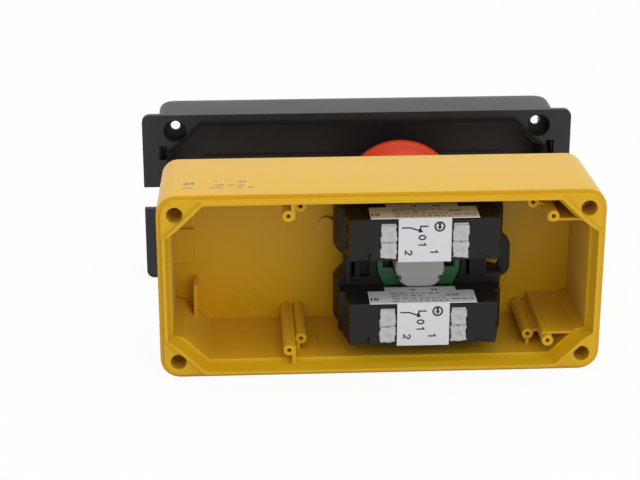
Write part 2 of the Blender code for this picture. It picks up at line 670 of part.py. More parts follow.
def make_base(frame, finish):
    """Flange and tray of the base, its inner side towards the cover. y is counted from the flange face."""
    half_x = COVER_LENGTH / 2
    half_z = COVER_HEIGHT / 2
    flange_x = half_x + BASE_EAR
    flange = loft("base_tray", [(y, rounded_rectangle(flange_x, half_z, BASE_CORNER_RADIUS))
                                for y in (0.0, BASE_FLANGE_THICKNESS)], frame, finish, smooth=True)
    sections = [(BASE_FLANGE_THICKNESS / 2, rounded_rectangle(half_x, half_z, BASE_CORNER_RADIUS))]
    for step in range(CORNER_STEPS + 1):
        turn = math.pi / 2 * step / CORNER_STEPS
        y = BASE_DEPTH - BASE_BACK_RADIUS * (1 - math.sin(turn))
        inset_x = BASE_BACK_RADIUS * (1 - math.cos(turn))
        inset_z = BASE_BACK_FILLET * (1 - math.cos(turn))
        sections.append((y, rounded_rectangle(half_x - inset_x, half_z - inset_z, BASE_CORNER_RADIUS)))
    join(flange, loft("tray_body", sections, frame))
    floor = BASE_DEPTH - BASE_FLOOR
    cut(flange, loft("tray_cavity_cutter", [(y, opening_outline(0.0)) for y in (-OVERSHOOT, floor)], frame))
    notch_x = flange_x - BASE_NOTCH_DEPTH
    edge = flange_x + OVERSHOOT
    cut(flange, boxes("ear_notch_cutter",
                      [((low, -OVERSHOOT, -BASE_NOTCH_HEIGHT / 2), (high, BASE_DEPTH + OVERSHOOT,
                                                                    BASE_NOTCH_HEIGHT / 2))
                       for low, high in ((-edge, -notch_x), (notch_x, edge))], frame))
    profile = [(0, -OVERSHOOT), (BASE_RECESS_RADIUS, -OVERSHOOT), (BASE_RECESS_RADIUS, BASE_RECESS_DEPTH),
               (BASE_HOLE_RADIUS, BASE_RECESS_DEPTH), (BASE_HOLE_RADIUS, BASE_DEPTH + OVERSHOOT),
               (0, BASE_DEPTH + OVERSHOOT)]
    cut(flange, turned("base_hole_cutter", profile, frame,
                       centres=four_ways(SCREW_X, SCREW_Z), steps=SMALL_ROUND_STEPS))
    cut(flange, boxes("base_slot_cutter", base_slot_boxes(), frame))
    cut(flange, boxes("base_core_cutter", base_core_boxes(), frame))
    join(flange, boxes("tray_ribs", base_rib_boxes(floor), frame))


def base_core_boxes():
    """Cores from the back of the base to the thin plates with the fixing holes."""
    outer_x = COVER_LENGTH / 2 - BASE_CORE_SIDE_WALL
    outer_z = COVER_HEIGHT / 2 - BASE_CORE_LONG_WALL
    start = BASE_RECESS_DEPTH + BASE_HOLE_PLATE
    pairs = []
    for side_x in (1, -1):
        low_x, high_x = sorted((side_x * outer_x, side_x * (outer_x - BASE_CORE_WIDTH)))
        for side_z in (1, -1):
            low_z, high_z = sorted((side_z * outer_z, side_z * (outer_z - BASE_CORE_HEIGHT)))
            pairs.append(((low_x, start, low_z), (high_x, BASE_DEPTH + OVERSHOOT, high_z)))
    return pairs


def base_slot_boxes():
    """Short upright slots beside the ears, below the upper and above the lower fixing holes."""
    outer = COVER_LENGTH / 2
    inner = outer - BASE_SLOT_WIDTH
    middle = SCREW_Z - BASE_SLOT_DROP
    pairs = []
    for z in (middle, -middle):
        low_z, high_z = z - BASE_SLOT_HEIGHT / 2, z + BASE_SLOT_HEIGHT / 2
        for low_x, high_x in ((-outer, -inner), (inner, outer)):
            pairs.append(((low_x, -OVERSHOOT, low_z), (high_x, BASE_SLOT_DEPTH, high_z)))
    return pairs


def base_rib_boxes(floor):
    """Low stiffening ribs along the tray's floor."""
    reach = COVER_LENGTH / 2 - WALL_THICKNESS - CORNER_WEB_LONG
    pairs = []
    for z in (-BASE_RIB_SPACING / 2, BASE_RIB_SPACING / 2):
        pairs.append(((-reach, floor - BASE_RIB_HEIGHT, z - BASE_RIB_WIDTH / 2),
                      (reach, floor + BASE_FLOOR / 2, z + BASE_RIB_WIDTH / 2)))
    return pairs


def make_base_seal(frame, finish):
    """Flat seal along the edge of the base's opening, between two outlines of the same shape."""
    front = -SEAT_GAP
    back = front - SEAL_HEIGHT
    outer = opening_outline(SEAL_WIDTH + SEAT_GAP)
    inner = opening_outline(SEAT_GAP)
    bm = bmesh.new()
    rings = [[bm.verts.new((x, y, z)) for x, z in outline]
             for outline, y in ((outer, back), (outer, front), (inner, front), (inner, back))]
    for near, far in zip(rings, rings[1:] + rings[:1]):
        for index in range(len(near)):
            after = (index + 1) % len(near)
            bm.faces.new((near[index], near[after], far[after], far[index]))
    finish_mesh("base_seal", bm, frame, finish)


def make_collar(axis, finish):
    """Bezel outside the cover and threaded collar through it, with a ledge inside for the return spring."""
    profile = [(COLLAR_BORE_RADIUS, COLLAR_BACK), (COLLAR_RADIUS, COLLAR_BACK), (COLLAR_RADIUS, BEZEL_BACK),
               (BEZEL_RADIUS, BEZEL_BACK), (BEZEL_RADIUS, BEZEL_BACK + BEZEL_THICKNESS - BEZEL_CHAMFER),
               (BEZEL_RADIUS - BEZEL_CHAMFER, BEZEL_BACK + BEZEL_THICKNESS),
               (BEZEL_HUB_RADIUS, BEZEL_BACK + BEZEL_THICKNESS), (BEZEL_HUB_RADIUS, BEZEL_FRONT - SEAT_GAP),
               (BEZEL_HUB_RADIUS - SEAT_GAP, BEZEL_FRONT), (COLLAR_BORE_RADIUS, BEZEL_FRONT),
               (COLLAR_BORE_RADIUS, LEDGE_FRONT), (COLLAR_LEDGE_RADIUS, LEDGE_FRONT),
               (COLLAR_LEDGE_RADIUS, LEDGE_BACK), (COLLAR_BORE_RADIUS, LEDGE_BACK)]
    collar = turned("bezel_collar", profile, axis, finish)
    half = PLATE_WING_WIDTH / 2 + RUNNING_GAP
    slot = (PLATE_WING_REACH + COLLAR_RADIUS) / 2 + RUNNING_GAP + OVERSHOOT
    cut(collar, boxes("collar_slot_cutter",
                      [((-half, COLLAR_BACK - OVERSHOOT, low), (half, PLATE_FRONT + RUNNING_GAP, high))
                       for low, high in ((-slot, -COLLAR_BORE_RADIUS + OVERSHOOT),
                                         (COLLAR_BORE_RADIUS - OVERSHOOT, slot))], axis))


def ring_profile(inner, outer, back, front):
    return [(inner, back), (outer, back), (outer, front), (inner, front)]


def make_nut(axis, finish):
    """Round nut that clamps the collar to the panel, with spanner notches."""
    front = PANEL_BACK - SEAT_GAP
    back = front - NUT_THICKNESS
    nut = turned("panel_nut", ring_profile(COLLAR_RADIUS + SEAT_GAP, NUT_RADIUS, back, front), axis, finish)
    bm = bmesh.new()
    for number in range(NUT_NOTCHES):
        add_box(bm, (NUT_RADIUS - NUT_NOTCH_DEPTH, back - OVERSHOOT, -NUT_NOTCH_WIDTH / 2),
                (NUT_RADIUS + OVERSHOOT, front + OVERSHOOT, NUT_NOTCH_WIDTH / 2))
        turn_last_box(bm, 2 * math.pi * number / NUT_NOTCHES)
    cut(nut, finish_mesh("nut_notch_cutter", bm, axis))


def turn_last_box(bm, angle):
    """Turn the eight newest points about Y."""
    bm.verts.ensure_lookup_table()
    for vert in bm.verts[-8:]:
        x, z = vert.co.x, vert.co.z
        vert.co.x = x * math.cos(angle) - z * math.sin(angle)
        vert.co.z = x * math.sin(angle) + z * math.cos(angle)


def make_locking_ring(axis, finish):
    """Green ring over the end of the collar, keyed at its sides and open for the plate's wings."""
    flange_front = RING_BACK + RING_FLANGE_THICKNESS
    skirt_front = COLLAR_BACK + RING_SKIRT_LENGTH
    bore = COLLAR_RADIUS + SEAT_GAP
    profile = [(RING_OPENING_RADIUS, RING_BACK), (RING_RADIUS - SEAT_GAP, RING_BACK),
               (RING_RADIUS, RING_BACK + SEAT_GAP), (RING_RADIUS, skirt_front), (bore, skirt_front),
               (bore, flange_front), (RING_OPENING_RADIUS, flange_front)]
    ring = turned("locking_ring", profile, axis, finish)
    half = PLATE_WING_WIDTH / 2 + 2 * RUNNING_GAP
    reach = RING_RADIUS + OVERSHOOT
    key = RING_KEY_WIDTH / 2
    back = RING_BACK - OVERSHOOT
    pairs = [((-half, back, -reach), (half, PLATE_FRONT + RUNNING_GAP, reach)),
             ((-RING_KEY_REACH, back, -key), (RING_KEY_REACH, flange_front + SEAT_GAP / 2, key))]
    for number, pair in enumerate(pairs, start=1):
        cut(ring, boxes(f"ring_slot_cutter_{number}", [pair], axis))


def make_push_plate(axis, finish):
    """White plate on the end of the stem: wings for the outer contacts and a boss for the middle one."""
    plate = turned("push_plate", [(0, PLATE_BACK), (PLATE_RADIUS, PLATE_BACK), (PLATE_RADIUS, PLATE_FRONT),
                                  (0, PLATE_FRONT)], axis, finish)
    half = PLATE_WING_WIDTH / 2
    join(plate, boxes("plate_wings", [((-half, PLATE_BACK, -PLATE_WING_REACH),
                                       (half, PLATE_FRONT, PLATE_WING_REACH))], axis))
    boss_back = PLATE_BACK - BOSS_LENGTH
    boss = [(y, boss_outline(radius)) for y, radius in
            ((boss_back, BOSS_RADIUS - BOSS_CHAMFER), (boss_back + BOSS_CHAMFER, BOSS_RADIUS),
             (PLATE_BACK + PLATE_THICKNESS / 2, BOSS_RADIUS))]
    join(plate, loft("plate_boss", boss, axis))
    claws = []
    for sign_x in (1, -1):
        for sign_z in (1, -1):
            x = sign_x * BOSS_RADIUS * math.cos(math.radians(BOSS_CLAW_TURN))
            z = sign_z * BOSS_RADIUS * math.sin(math.radians(BOSS_CLAW_TURN))
            claws.append(((x - BOSS_CLAW_DEPTH, boss_back - OVERSHOOT, z - BOSS_CLAW_WIDTH / 2),
                          (x + BOSS_CLAW_DEPTH, PLATE_BACK - OVERSHOOT, z + BOSS_CLAW_WIDTH / 2)))
    cut(plate, boxes("boss_claw_cutter", claws, axis))


def boss_outline(radius):
    """A circle with its upper and lower side made flat, to fit between two blocks."""
    points = []
    for step in range(ROUND_STEPS):
        turn = 2 * math.pi * step / ROUND_STEPS
        z = radius * math.sin(turn)
        points.append((radius * math.cos(turn), max(-BOSS_HALF_FLAT, min(BOSS_HALF_FLAT, z))))
    return points


def make_stem(axis, finish):
    """Stem from the push plate to the head, with the shoulder that the return spring lifts."""
    back = PLATE_FRONT + SEAT_GAP
    front = HEAD_TOP_Y - HEAD_DOME_HEIGHT + HEAD_EDGE_RADIUS
    inner = STEM_RADIUS - SEAT_GAP
    profile = [(0, back), (inner, back), (inner, SHOULDER_BACK), (STEM_SHOULDER_RADIUS, SHOULDER_BACK),
               (STEM_SHOULDER_RADIUS, SHOULDER_FRONT), (STEM_RADIUS, SHOULDER_FRONT), (STEM_RADIUS, front),
               (0, front)]
    turned("plunger_stem", profile, axis, finish, steps=STEM_STEPS)
    return front


def make_return_spring(axis, finish):
    radius = (COLLAR_BORE_RADIUS + STEM_RADIUS) / 2
    helix("return_spring", radius, SPRING_WIRE_RADIUS, LEDGE_FRONT + SEAT_GAP + SPRING_WIRE_RADIUS,
          SHOULDER_BACK - SEAT_GAP - SPRING_WIRE_RADIUS, SPRING_TURNS, axis, finish)


def make_mushroom(axis, finish, stem_front):
    """Mushroom head: skirt in the bezel, waisted neck, hollowed underside, rolled edge and dome."""
    profile = [(0, stem_front + SEAT_GAP), (STEM_RADIUS + SEAT_GAP, stem_front + SEAT_GAP),
               (STEM_RADIUS + SEAT_GAP, SKIRT_BACK), (COLLAR_BORE_RADIUS - RUNNING_GAP, SKIRT_BACK),
               (COLLAR_BORE_RADIUS - RUNNING_GAP, NECK_BACK), (NECK_RADIUS, NECK_BACK)]
    flare_start = HEAD_RIM_Y - HEAD_UNDERSIDE_DEPTH
    profile.append((NECK_TOP_RADIUS, flare_start))
    edge_x = HEAD_RADIUS - HEAD_EDGE_RADIUS
    for step in range(1, HEAD_STEPS // 2):
        share = 2 * step / HEAD_STEPS
        radius = NECK_TOP_RADIUS + (edge_x - NECK_TOP_RADIUS) * share
        rise = (HEAD_UNDERSIDE_DEPTH - HEAD_EDGE_RADIUS) * share ** HEAD_UNDERSIDE_CURVE
        profile.append((radius, flare_start + rise))
    for step in range(CORNER_STEPS + 1):
        turn = -math.pi / 2 + math.pi / 2 * step / CORNER_STEPS
        profile.append((edge_x + HEAD_EDGE_RADIUS * math.cos(turn),
                        HEAD_RIM_Y + HEAD_EDGE_RADIUS * math.sin(turn)))
    for step in range(1, HEAD_STEPS):
        turn = math.pi / 2 * step / HEAD_STEPS
        rise = HEAD_DOME_HEIGHT * math.sin(turn) ** HEAD_DOME_CURVE
        profile.append((HEAD_RADIUS * math.cos(turn), HEAD_RIM_Y + rise))
    profile.append((0, HEAD_TOP_Y))
    turned("mushroom_head", profile, axis, finish)


def make_holder(axis, finish):
    """Frame that carries three contact blocks side by side and clips round the collar."""
    widths = ((0.0, HOLDER_REAR_HALF_LENGTH), (HOLDER_WIDE_START, HOLDER_HALF_LENGTH),
              (HOLDER_WIDE_END, HOLDER_HALF_LENGTH), (HOLDER_TAPER_END, HOLDER_FRONT_HALF_LENGTH),
              (HOLDER_THICKNESS, HOLDER_FRONT_HALF_LENGTH))
    sections = [(HOLDER_BACK + depth, rounded_rectangle(half, HOLDER_HALF_HEIGHT, HOLDER_CORNER_RADIUS,
                                                        SMALL_CORNER_STEPS))
                for depth, half in widths]
    holder = loft("contact_holder", sections, axis, finish)
    left = HOLDER_LEFT_SLIT_X - HOLDER_SLIT_WIDTH
    half_post = BLOCK_PITCH / 2 - HOLDER_POST_SIDE_ROOM
    post_back = HOLDER_BACK - HOLDER_POST_HEIGHT
    join(holder, boxes("holder_post", [((left - HOLDER_POST_THICKNESS, post_back, -half_post),
                                        (left, HOLDER_BACK + HOLDER_POST_FOOT, half_post))], axis))
    bore = RING_RADIUS + SEAT_GAP
    low, high = HOLDER_BACK - OVERSHOOT, HOLDER_FRONT + OVERSHOOT
    cut(holder, turned("holder_bore_cutter", [(0, low), (bore, low), (bore, high), (0, high)], axis))
    end = -HOLDER_HALF_LENGTH
    notch = [(end - OVERSHOOT, -HOLDER_NOTCH_OUTER_HALF), (end + HOLDER_NOTCH_DEPTH, -HOLDER_NOTCH_INNER_HALF),
             (end + HOLDER_NOTCH_DEPTH, HOLDER_NOTCH_INNER_HALF), (end - OVERSHOOT, HOLDER_NOTCH_OUTER_HALF)]
    cut(holder, loft("holder_notch_cutter", [(y, notch) for y in (low, high)], axis))
    lever_low = LEVER_BACK - RUNNING_GAP
    lever_high = LEVER_BACK + LEVER_THICKNESS + RUNNING_GAP
    swing = LEVER_REACH * math.sin(math.radians(LEVER_SWING_DEGREES)
                                   + math.atan2(LEVER_HALF_HEIGHT, LEVER_REACH)) + 2 * RUNNING_GAP
    cut(holder, boxes("lever_slot_cutter", [((0.0, lever_low, -LEVER_HALF_HEIGHT - RUNNING_GAP),
                                             (HOLDER_HALF_LENGTH + OVERSHOOT, lever_high, swing))], axis))
    half_slit = HOLDER_SLIT_HEIGHT / 2
    slits = [((x - HOLDER_SLIT_WIDTH / 2, low, -half_slit), (x + HOLDER_SLIT_WIDTH / 2, high, half_slit))
             for x in (HOLDER_LEFT_SLIT_X, HOLDER_RIGHT_SLIT_X)]
    window = HOLDER_WINDOW_HEIGHT / 2
    slits.append(((LEVER_HOLE_START, low, -window), (HOLDER_HALF_LENGTH + OVERSHOOT, high, window)))
    cut(holder, boxes("holder_slit_cutter", slits, axis))
    plunger_reach = BLOCK_PITCH + PLUNGER_HALF_HEIGHT + RUNNING_GAP
    half = CHANNEL_HALF_WIDTH
    cut(holder, boxes("holder_plunger_cutter", [((-half, low, -plunger_reach),
                                                 (half, PLATE_BACK + OVERSHOOT, plunger_reach))], axis))
    pocket_low = HOLDER_LEFT_SLIT_X + 2 * HOLDER_SLIT_WIDTH
    pocket_high = -bore - 2 * HOLDER_SLIT_WIDTH
    pocket = ((pocket_low, low, -half_slit), (pocket_high, HOLDER_BACK + HOLDER_POCKET_DEPTH, half_slit))
    cut(holder, boxes("holder_pocket_cutter", [pocket], axis))


def lever_outline():
    """Round hub and the straight arm out of it, with round corners at the arm's end."""
    start = math.asin(LEVER_HALF_HEIGHT / LEVER_HUB_RADIUS)
    points = []
    for step in range(ROUND_STEPS * 3 // 4 + 1):
        turn = start + (2 * math.pi - 2 * start) * step / (ROUND_STEPS * 3 // 4)
        points.append((LEVER_HUB_RADIUS * math.cos(turn), LEVER_HUB_RADIUS * math.sin(turn)))
    radius = LEVER_CORNER_RADIUS
    for side, first_turn in ((-1, math.pi * 1.5), (1, 0.0)):
        for step in range(CORNER_STEPS + 1):
            turn = first_turn + math.pi / 2 * step / CORNER_STEPS
            points.append((LEVER_REACH - radius + radius * math.cos(turn),
                           side * (LEVER_HALF_HEIGHT - radius) + radius * math.sin(turn)))
    return points


def make_lever(axis, finish):
    """Release lever: a ring round the collar with a finger loop at the end of its arm."""
    back, front = LEVER_BACK, LEVER_BACK + LEVER_THICKNESS
    outline = lever_outline()
    lever = loft("release_lever", [(y, outline) for y in (back, front)], axis, finish, smooth=True)
    bore = COLLAR_RADIUS + RUNNING_GAP
    cut(lever, turned("lever_bore_cutter", [(0, back - OVERSHOOT), (bore, back - OVERSHOOT),
                                            (bore, front + OVERSHOOT), (0, front + OVERSHOOT)], axis))
    hole_end = LEVER_REACH - LEVER_BAND
    hole = [(x + (LEVER_HOLE_START + hole_end) / 2, z)
            for x, z in rounded_rectangle((hole_end - LEVER_HOLE_START) / 2, LEVER_HOLE_HALF_HEIGHT,
                                          LEVER_HOLE_CORNER_RADIUS, SMALL_CORNER_STEPS)]
    cut(lever, loft("lever_hole_cutter", [(y, hole) for y in (back - OVERSHOOT, front + OVERSHOOT)], axis))


def block_outline():
    """Half of the block's plan: (half length, y) from the rear face to the front face."""
    step = BLOCK_BACK + BLOCK_STEP_DEPTH
    groove_end = step + BLOCK_GROOVE_WIDTH
    return [(BLOCK_REAR_HALF_LENGTH, BLOCK_BACK), (BLOCK_STEP_HALF_LENGTH, step),
            (BLOCK_GROOVE_HALF_LENGTH, step + SEAT_GAP), (BLOCK_GROOVE_HALF_LENGTH, groove_end),
            (BLOCK_FRONT_HALF_LENGTH, groove_end + BLOCK_GROOVE_SLOPE),
            (BLOCK_FRONT_HALF_LENGTH, BLOCK_FRONT)]


def make_block_housing(name, frame, finish):
    """Black housing of one contact block: chamber, plunger channel, terminal wells and wire holes."""
    half_z = BLOCK_THICKNESS / 2 - SEAT_GAP / 2
    plan = block_outline()
    loop = [(x, y) for x, y in plan] + [(-x, y) for x, y in reversed(plan)]
    bm = bmesh.new()
    rings = []
    for z, inset in ((-half_z, BLOCK_CHAMFER), (-half_z + BLOCK_CHAMFER, 0.0),
                     (half_z - BLOCK_CHAMFER, 0.0), (half_z, BLOCK_CHAMFER)):
        rear = BLOCK_BACK + inset
        rings.append([bm.verts.new((x - math.copysign(inset, x), max(y, rear), z)) for x, y in loop])
    for near, far in zip(rings, rings[1:]):
        for index in range(len(near)):
            after = (index + 1) % len(near)
            bm.faces.new((near[index], near[after], far[after], far[index]))
    bm.faces.new(rings[0])
    bm.faces.new(reversed(rings[-1]))
    housing = finish_mesh(f"{name}_housing", bm, frame, finish)
    roof = BLOCK_FRONT - CHAMBER_ROOF
    floor = BLOCK_BACK + CHAMBER_FLOOR
    cut(housing, boxes(f"{name}_chamber_cutter",
                       [((-CHAMBER_HALF_LENGTH, floor, -CHAMBER_HALF_HEIGHT),
                         (CHAMBER_HALF_LENGTH, roof, CHAMBER_HALF_HEIGHT))], frame))
    slot_x = PLUNGER_HALF_WIDTH + RUNNING_GAP
    slot_z = PLUNGER_HALF_HEIGHT + RUNNING_GAP
    cut(housing, boxes(f"{name}_plunger_slot_cutter", [((-slot_x, roof - OVERSHOOT, -slot_z),
                                                        (slot_x, BLOCK_FRONT + OVERSHOOT, slot_z))], frame))
    channel = ((-CHANNEL_HALF_WIDTH, BLOCK_FRONT - CHANNEL_DEPTH, -BLOCK_PITCH),
               (CHANNEL_HALF_WIDTH, BLOCK_FRONT + OVERSHOOT, BLOCK_PITCH))
    cut(housing, boxes(f"{name}_channel_cutter", [channel], frame))
    well = TERMINAL_WIDTH / 2 + SEAT_GAP
    well_z = TERMINAL_HALF_HEIGHT + SEAT_GAP
    contact_low, contact_high = contact_span()
    wells = [((side * TERMINAL_X - well, BLOCK_BACK - OVERSHOOT, -well_z),
              (side * TERMINAL_X + well, contact_high + SEAT_GAP, well_z)) for side in (1, -1)]
    cut(housing, boxes(f"{name}_terminal_well_cutter", wells, frame))
    reach = CONTACT_END + SEAT_GAP
    strip_z = BRIDGE_HALF_WIDTH + SEAT_GAP
    cut(housing, boxes(f"{name}_contact_slot_cutter", [((-reach, contact_low - SEAT_GAP, -strip_z),
                                                        (reach, contact_high + SEAT_GAP, strip_z))], frame))
    cut(housing, wire_hole_cutter(name, frame))
    cut(housing, ramp_cutter(name, frame, half_z))


def contact_span():
    """Near and far side of the fixed contacts, in front of the bridge."""
    bridge_front = plunger_back() - SEAT_GAP
    return bridge_front + SEAT_GAP, bridge_front + SEAT_GAP + CONTACT_THICKNESS


def plunger_back():
    return PLATE_BACK - SEAT_GAP - PLUNGER_LENGTH


def wire_hole_cutter(name, frame):
    """Round wire holes from both end faces into the terminal wells."""
    bm = bmesh.new()
    y = BLOCK_BACK + WIRE_HOLE_DEPTH_FROM_REAR
    turns = [2 * math.pi * step / WIRE_HOLE_STEPS for step in range(WIRE_HOLE_STEPS)]
    for side in (1, -1):
        for z in (-TERMINAL_HALF_HEIGHT / 2, TERMINAL_HALF_HEIGHT / 2):
            ends = sorted((side * TERMINAL_X, side * (BLOCK_FRONT_HALF_LENGTH + OVERSHOOT)))
            rings = []
            for x in ends:
                rings.append([bm.verts.new((x, y + WIRE_HOLE_RADIUS * math.cos(turn),
                                            z + WIRE_HOLE_RADIUS * math.sin(turn))) for turn in turns])
            for step in range(WIRE_HOLE_STEPS):
                after = (step + 1) % WIRE_HOLE_STEPS
                bm.faces.new((rings[0][step], rings[0][after], rings[1][after], rings[1][step]))
            bm.faces.new(rings[0])
            bm.faces.new(reversed(rings[1]))
    return finish_mesh(f"{name}_wire_hole_cutter", bm, frame)


def ramp_cutter(name, frame, half_z):
    """Ramped notches at the lower edge of the rear face, one near each end."""
    bm = bmesh.new()
    low, high = BLOCK_BACK - OVERSHOOT, BLOCK_BACK + RAMP_DEPTH
    for side in (1, -1):
        outline = [(side * RAMP_START, -half_z - OVERSHOOT), (side * RAMP_START, -half_z + RAMP_HEIGHT / 3),
                   (side * RAMP_END, -half_z + RAMP_HEIGHT), (side * RAMP_END, -half_z - OVERSHOOT)]
        add_loft(bm, [(low, outline), (high, outline)])
    return finish_mesh(f"{name}_ramp_cutter", bm, frame)


def make_terminals(name, frame, finish):
    """White terminal pieces, two halves one above the other at each end, each with a dimple."""
    back = BLOCK_BACK - SEAT_GAP / 2
    for side_name, side in (("left", -1), ("right", 1)):
        for level_name, level in (("upper", 1), ("lower", -1)):
            x = side * TERMINAL_X
            low, high = sorted((level * SEAT_GAP / 2, level * TERMINAL_HALF_HEIGHT))
            half = TERMINAL_WIDTH / 2
            middle = (low + high) / 2
            height = (high - low) / 2
            sections = []
            for depth, inset in ((0, TERMINAL_CHAMFER), (TERMINAL_CHAMFER, 0), (TERMINAL_LENGTH, 0)):
                outline = rounded_rectangle(half - inset, height - inset, TERMINAL_EDGE_RADIUS,
                                            TERMINAL_CORNER_STEPS)
                sections.append((back + depth, outline))
            place = empty(f"{name}_terminal_place_{side_name}_{level_name}", (x, 0, middle), frame)
            piece = loft(f"{name}_terminal_{side_name}_{level_name}", sections, place, finish)
            dimple = TERMINAL_DIMPLE_RADIUS
            cut(piece, turned(f"{name}_dimple_cutter_{side_name}_{level_name}",
                              [(0, back - OVERSHOOT), (dimple, back - OVERSHOOT), (dimple, back),
                               (0, back + dimple)], place, steps=WIRE_HOLE_STEPS))


def make_contacts(name, frame, finishes):
    """Plunger, moving bridge, contact spring and the two fixed contacts of one block."""
    front = PLATE_BACK - SEAT_GAP
    back = plunger_back()
    boxes(f"{name}_plunger", [((-PLUNGER_HALF_WIDTH, back, -PLUNGER_HALF_HEIGHT),
                               (PLUNGER_HALF_WIDTH, front, PLUNGER_HALF_HEIGHT))], frame, finishes["plunger"])
    bridge_front = back - SEAT_GAP
    bridge_back = bridge_front - BRIDGE_THICKNESS
    half = BRIDGE_HALF_WIDTH
    reach = BRIDGE_HALF_LENGTH
    boxes(f"{name}_bridge", [((-reach, bridge_back, -half), (reach, bridge_front, half))], frame,
          finishes["brass"])
    helix(f"{name}_contact_spring", CONTACT_SPRING_RADIUS, CONTACT_SPRING_WIRE,
          BLOCK_BACK + CHAMBER_FLOOR + SEAT_GAP + CONTACT_SPRING_WIRE,
          bridge_back - SEAT_GAP - CONTACT_SPRING_WIRE, CONTACT_SPRING_TURNS, frame, finishes["steel"])
    low, high = contact_span()
    for side_name, side in (("left", -1), ("right", 1)):
        start, end = sorted((side * CONTACT_START, side * CONTACT_END))
        boxes(f"{name}_fixed_contact_{side_name}", [((start, low, -half), (end, high, half))], frame,
              finishes["brass"])


def make_label(name, frame, finish):
    """Label plate over the middle of the rear face, bent forward along the upper side with a stepped edge."""
    face_front = BLOCK_BACK - SEAT_GAP
    face_back = face_front - LABEL_THICKNESS
    side_low = BLOCK_THICKNESS / 2 + SEAT_GAP / 2
    side_high = side_low + LABEL_THICKNESS
    label = boxes(f"{name}_label", [((-LABEL_HALF_WIDTH, face_back, -BLOCK_THICKNESS / 2),
                                     (LABEL_HALF_WIDTH, face_front, side_high))], frame, finish)
    tongue = BLOCK_BACK + LABEL_TONGUE_DEPTH
    shoulder = BLOCK_BACK + LABEL_SIDE_DEPTH
    outline = [(-LABEL_SIDE_HALF_LENGTH, face_back), (LABEL_SIDE_HALF_LENGTH, face_back),
               (LABEL_SIDE_HALF_LENGTH, shoulder), (LABEL_TONGUE_HALF_LENGTH, shoulder),
               (LABEL_TONGUE_HALF_LENGTH, tongue), (-LABEL_TONGUE_HALF_LENGTH, tongue),
               (-LABEL_TONGUE_HALF_LENGTH, shoulder), (-LABEL_SIDE_HALF_LENGTH, shoulder)]
    bm = bmesh.new()
    rings = [[bm.verts.new((x, y, z)) for x, y in outline] for z in (side_low, side_high)]
    for index in range(len(outline)):
        after = (index + 1) % len(outline)
        bm.faces.new((rings[0][index], rings[0][after], rings[1][after], rings[1][index]))
    bm.faces.new(rings[0])
    bm.faces.new(reversed(rings[1]))
    join(label, finish_mesh(f"{name}_label_side", bm, frame))


def main():
    clear_scene()
    yellow = material("yellow_moulding", (0.86, 0.60, 0.04), 0.42)
    black = material("black_moulding", (0.035, 0.035, 0.038), 0.5)
    black_base = material("black_base_moulding", (0.045, 0.045, 0.05), 0.55)
    red = material("red_moulding", (0.80, 0.09, 0.03), 0.35)
    green = material("green_moulding", (0.03, 0.28, 0.10), 0.45)
    white = material("white_moulding", (0.80, 0.80, 0.78), 0.45)
    clear_white = material("milky_moulding", (0.74, 0.76, 0.74), 0.35)
    paper = material("white_label", (0.86, 0.87, 0.88), 0.5)
    rubber = material("black_rubber", (0.02, 0.02, 0.02), 0.8)
    steel = material("zinc_plated_steel", (0.62, 0.62, 0.60), 0.35, 1.0)
    brass = material("brass", (0.72, 0.55, 0.28), 0.35, 1.0)

    station = empty("station_frame", (COVER_SHIFT_X, RIM_Y, MIDDLE_Z))
    axis = empty("actuator_axis", (AXIS_X, 0, 0), station)
    base_frame = empty("base_frame", (0, RIM_Y + BASE_PLANE, MIDDLE_Z))

    make_cover(station, yellow)
    make_cover_screws(station, steel)
    make_base(base_frame, black_base)
    make_base_seal(base_frame, rubber)

    make_collar(axis, black)
    turned("bezel_gasket", ring_profile(COLLAR_RADIUS + SEAT_GAP, BEZEL_RADIUS - SEAT_GAP, GASKET_BACK,
                                        GASKET_BACK + GASKET_THICKNESS), axis, rubber)
    make_nut(axis, black)
    make_locking_ring(axis, green)
    turned("latch_ring", ring_profile(STEM_RADIUS + RUNNING_GAP, COLLAR_BORE_RADIUS - SEAT_GAP, LATCH_BACK,
                                      LATCH_BACK + LATCH_RING_THICKNESS), axis, white, steps=STEM_STEPS)
    make_push_plate(axis, white)
    stem_front = make_stem(axis, white)
    make_return_spring(axis, steel)
    make_mushroom(axis, red, stem_front)
    make_holder(axis, black)
    make_lever(axis, black)

    finishes = {"plunger": white, "brass": brass, "steel": steel}
    for name, side in (("upper_block", 1), ("lower_block", -1)):
        place = empty(f"{name}_axis", (0, 0, side * BLOCK_PITCH), axis)
        make_block_housing(name, place, black)
        make_terminals(name, place, clear_white)
        make_contacts(name, place, finishes)
        make_label(name, place, paper)


main()
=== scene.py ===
"""Looks of the mushroom push button station: finishes, fine edges, printed labels, floor, light and camera.

Metres, in the frame of the CAD part. What is printed or moulded finer than the CAD part holds is
modelled here.
"""
import json
import math

import bmesh
import bpy
from mathutils import Matrix, Vector

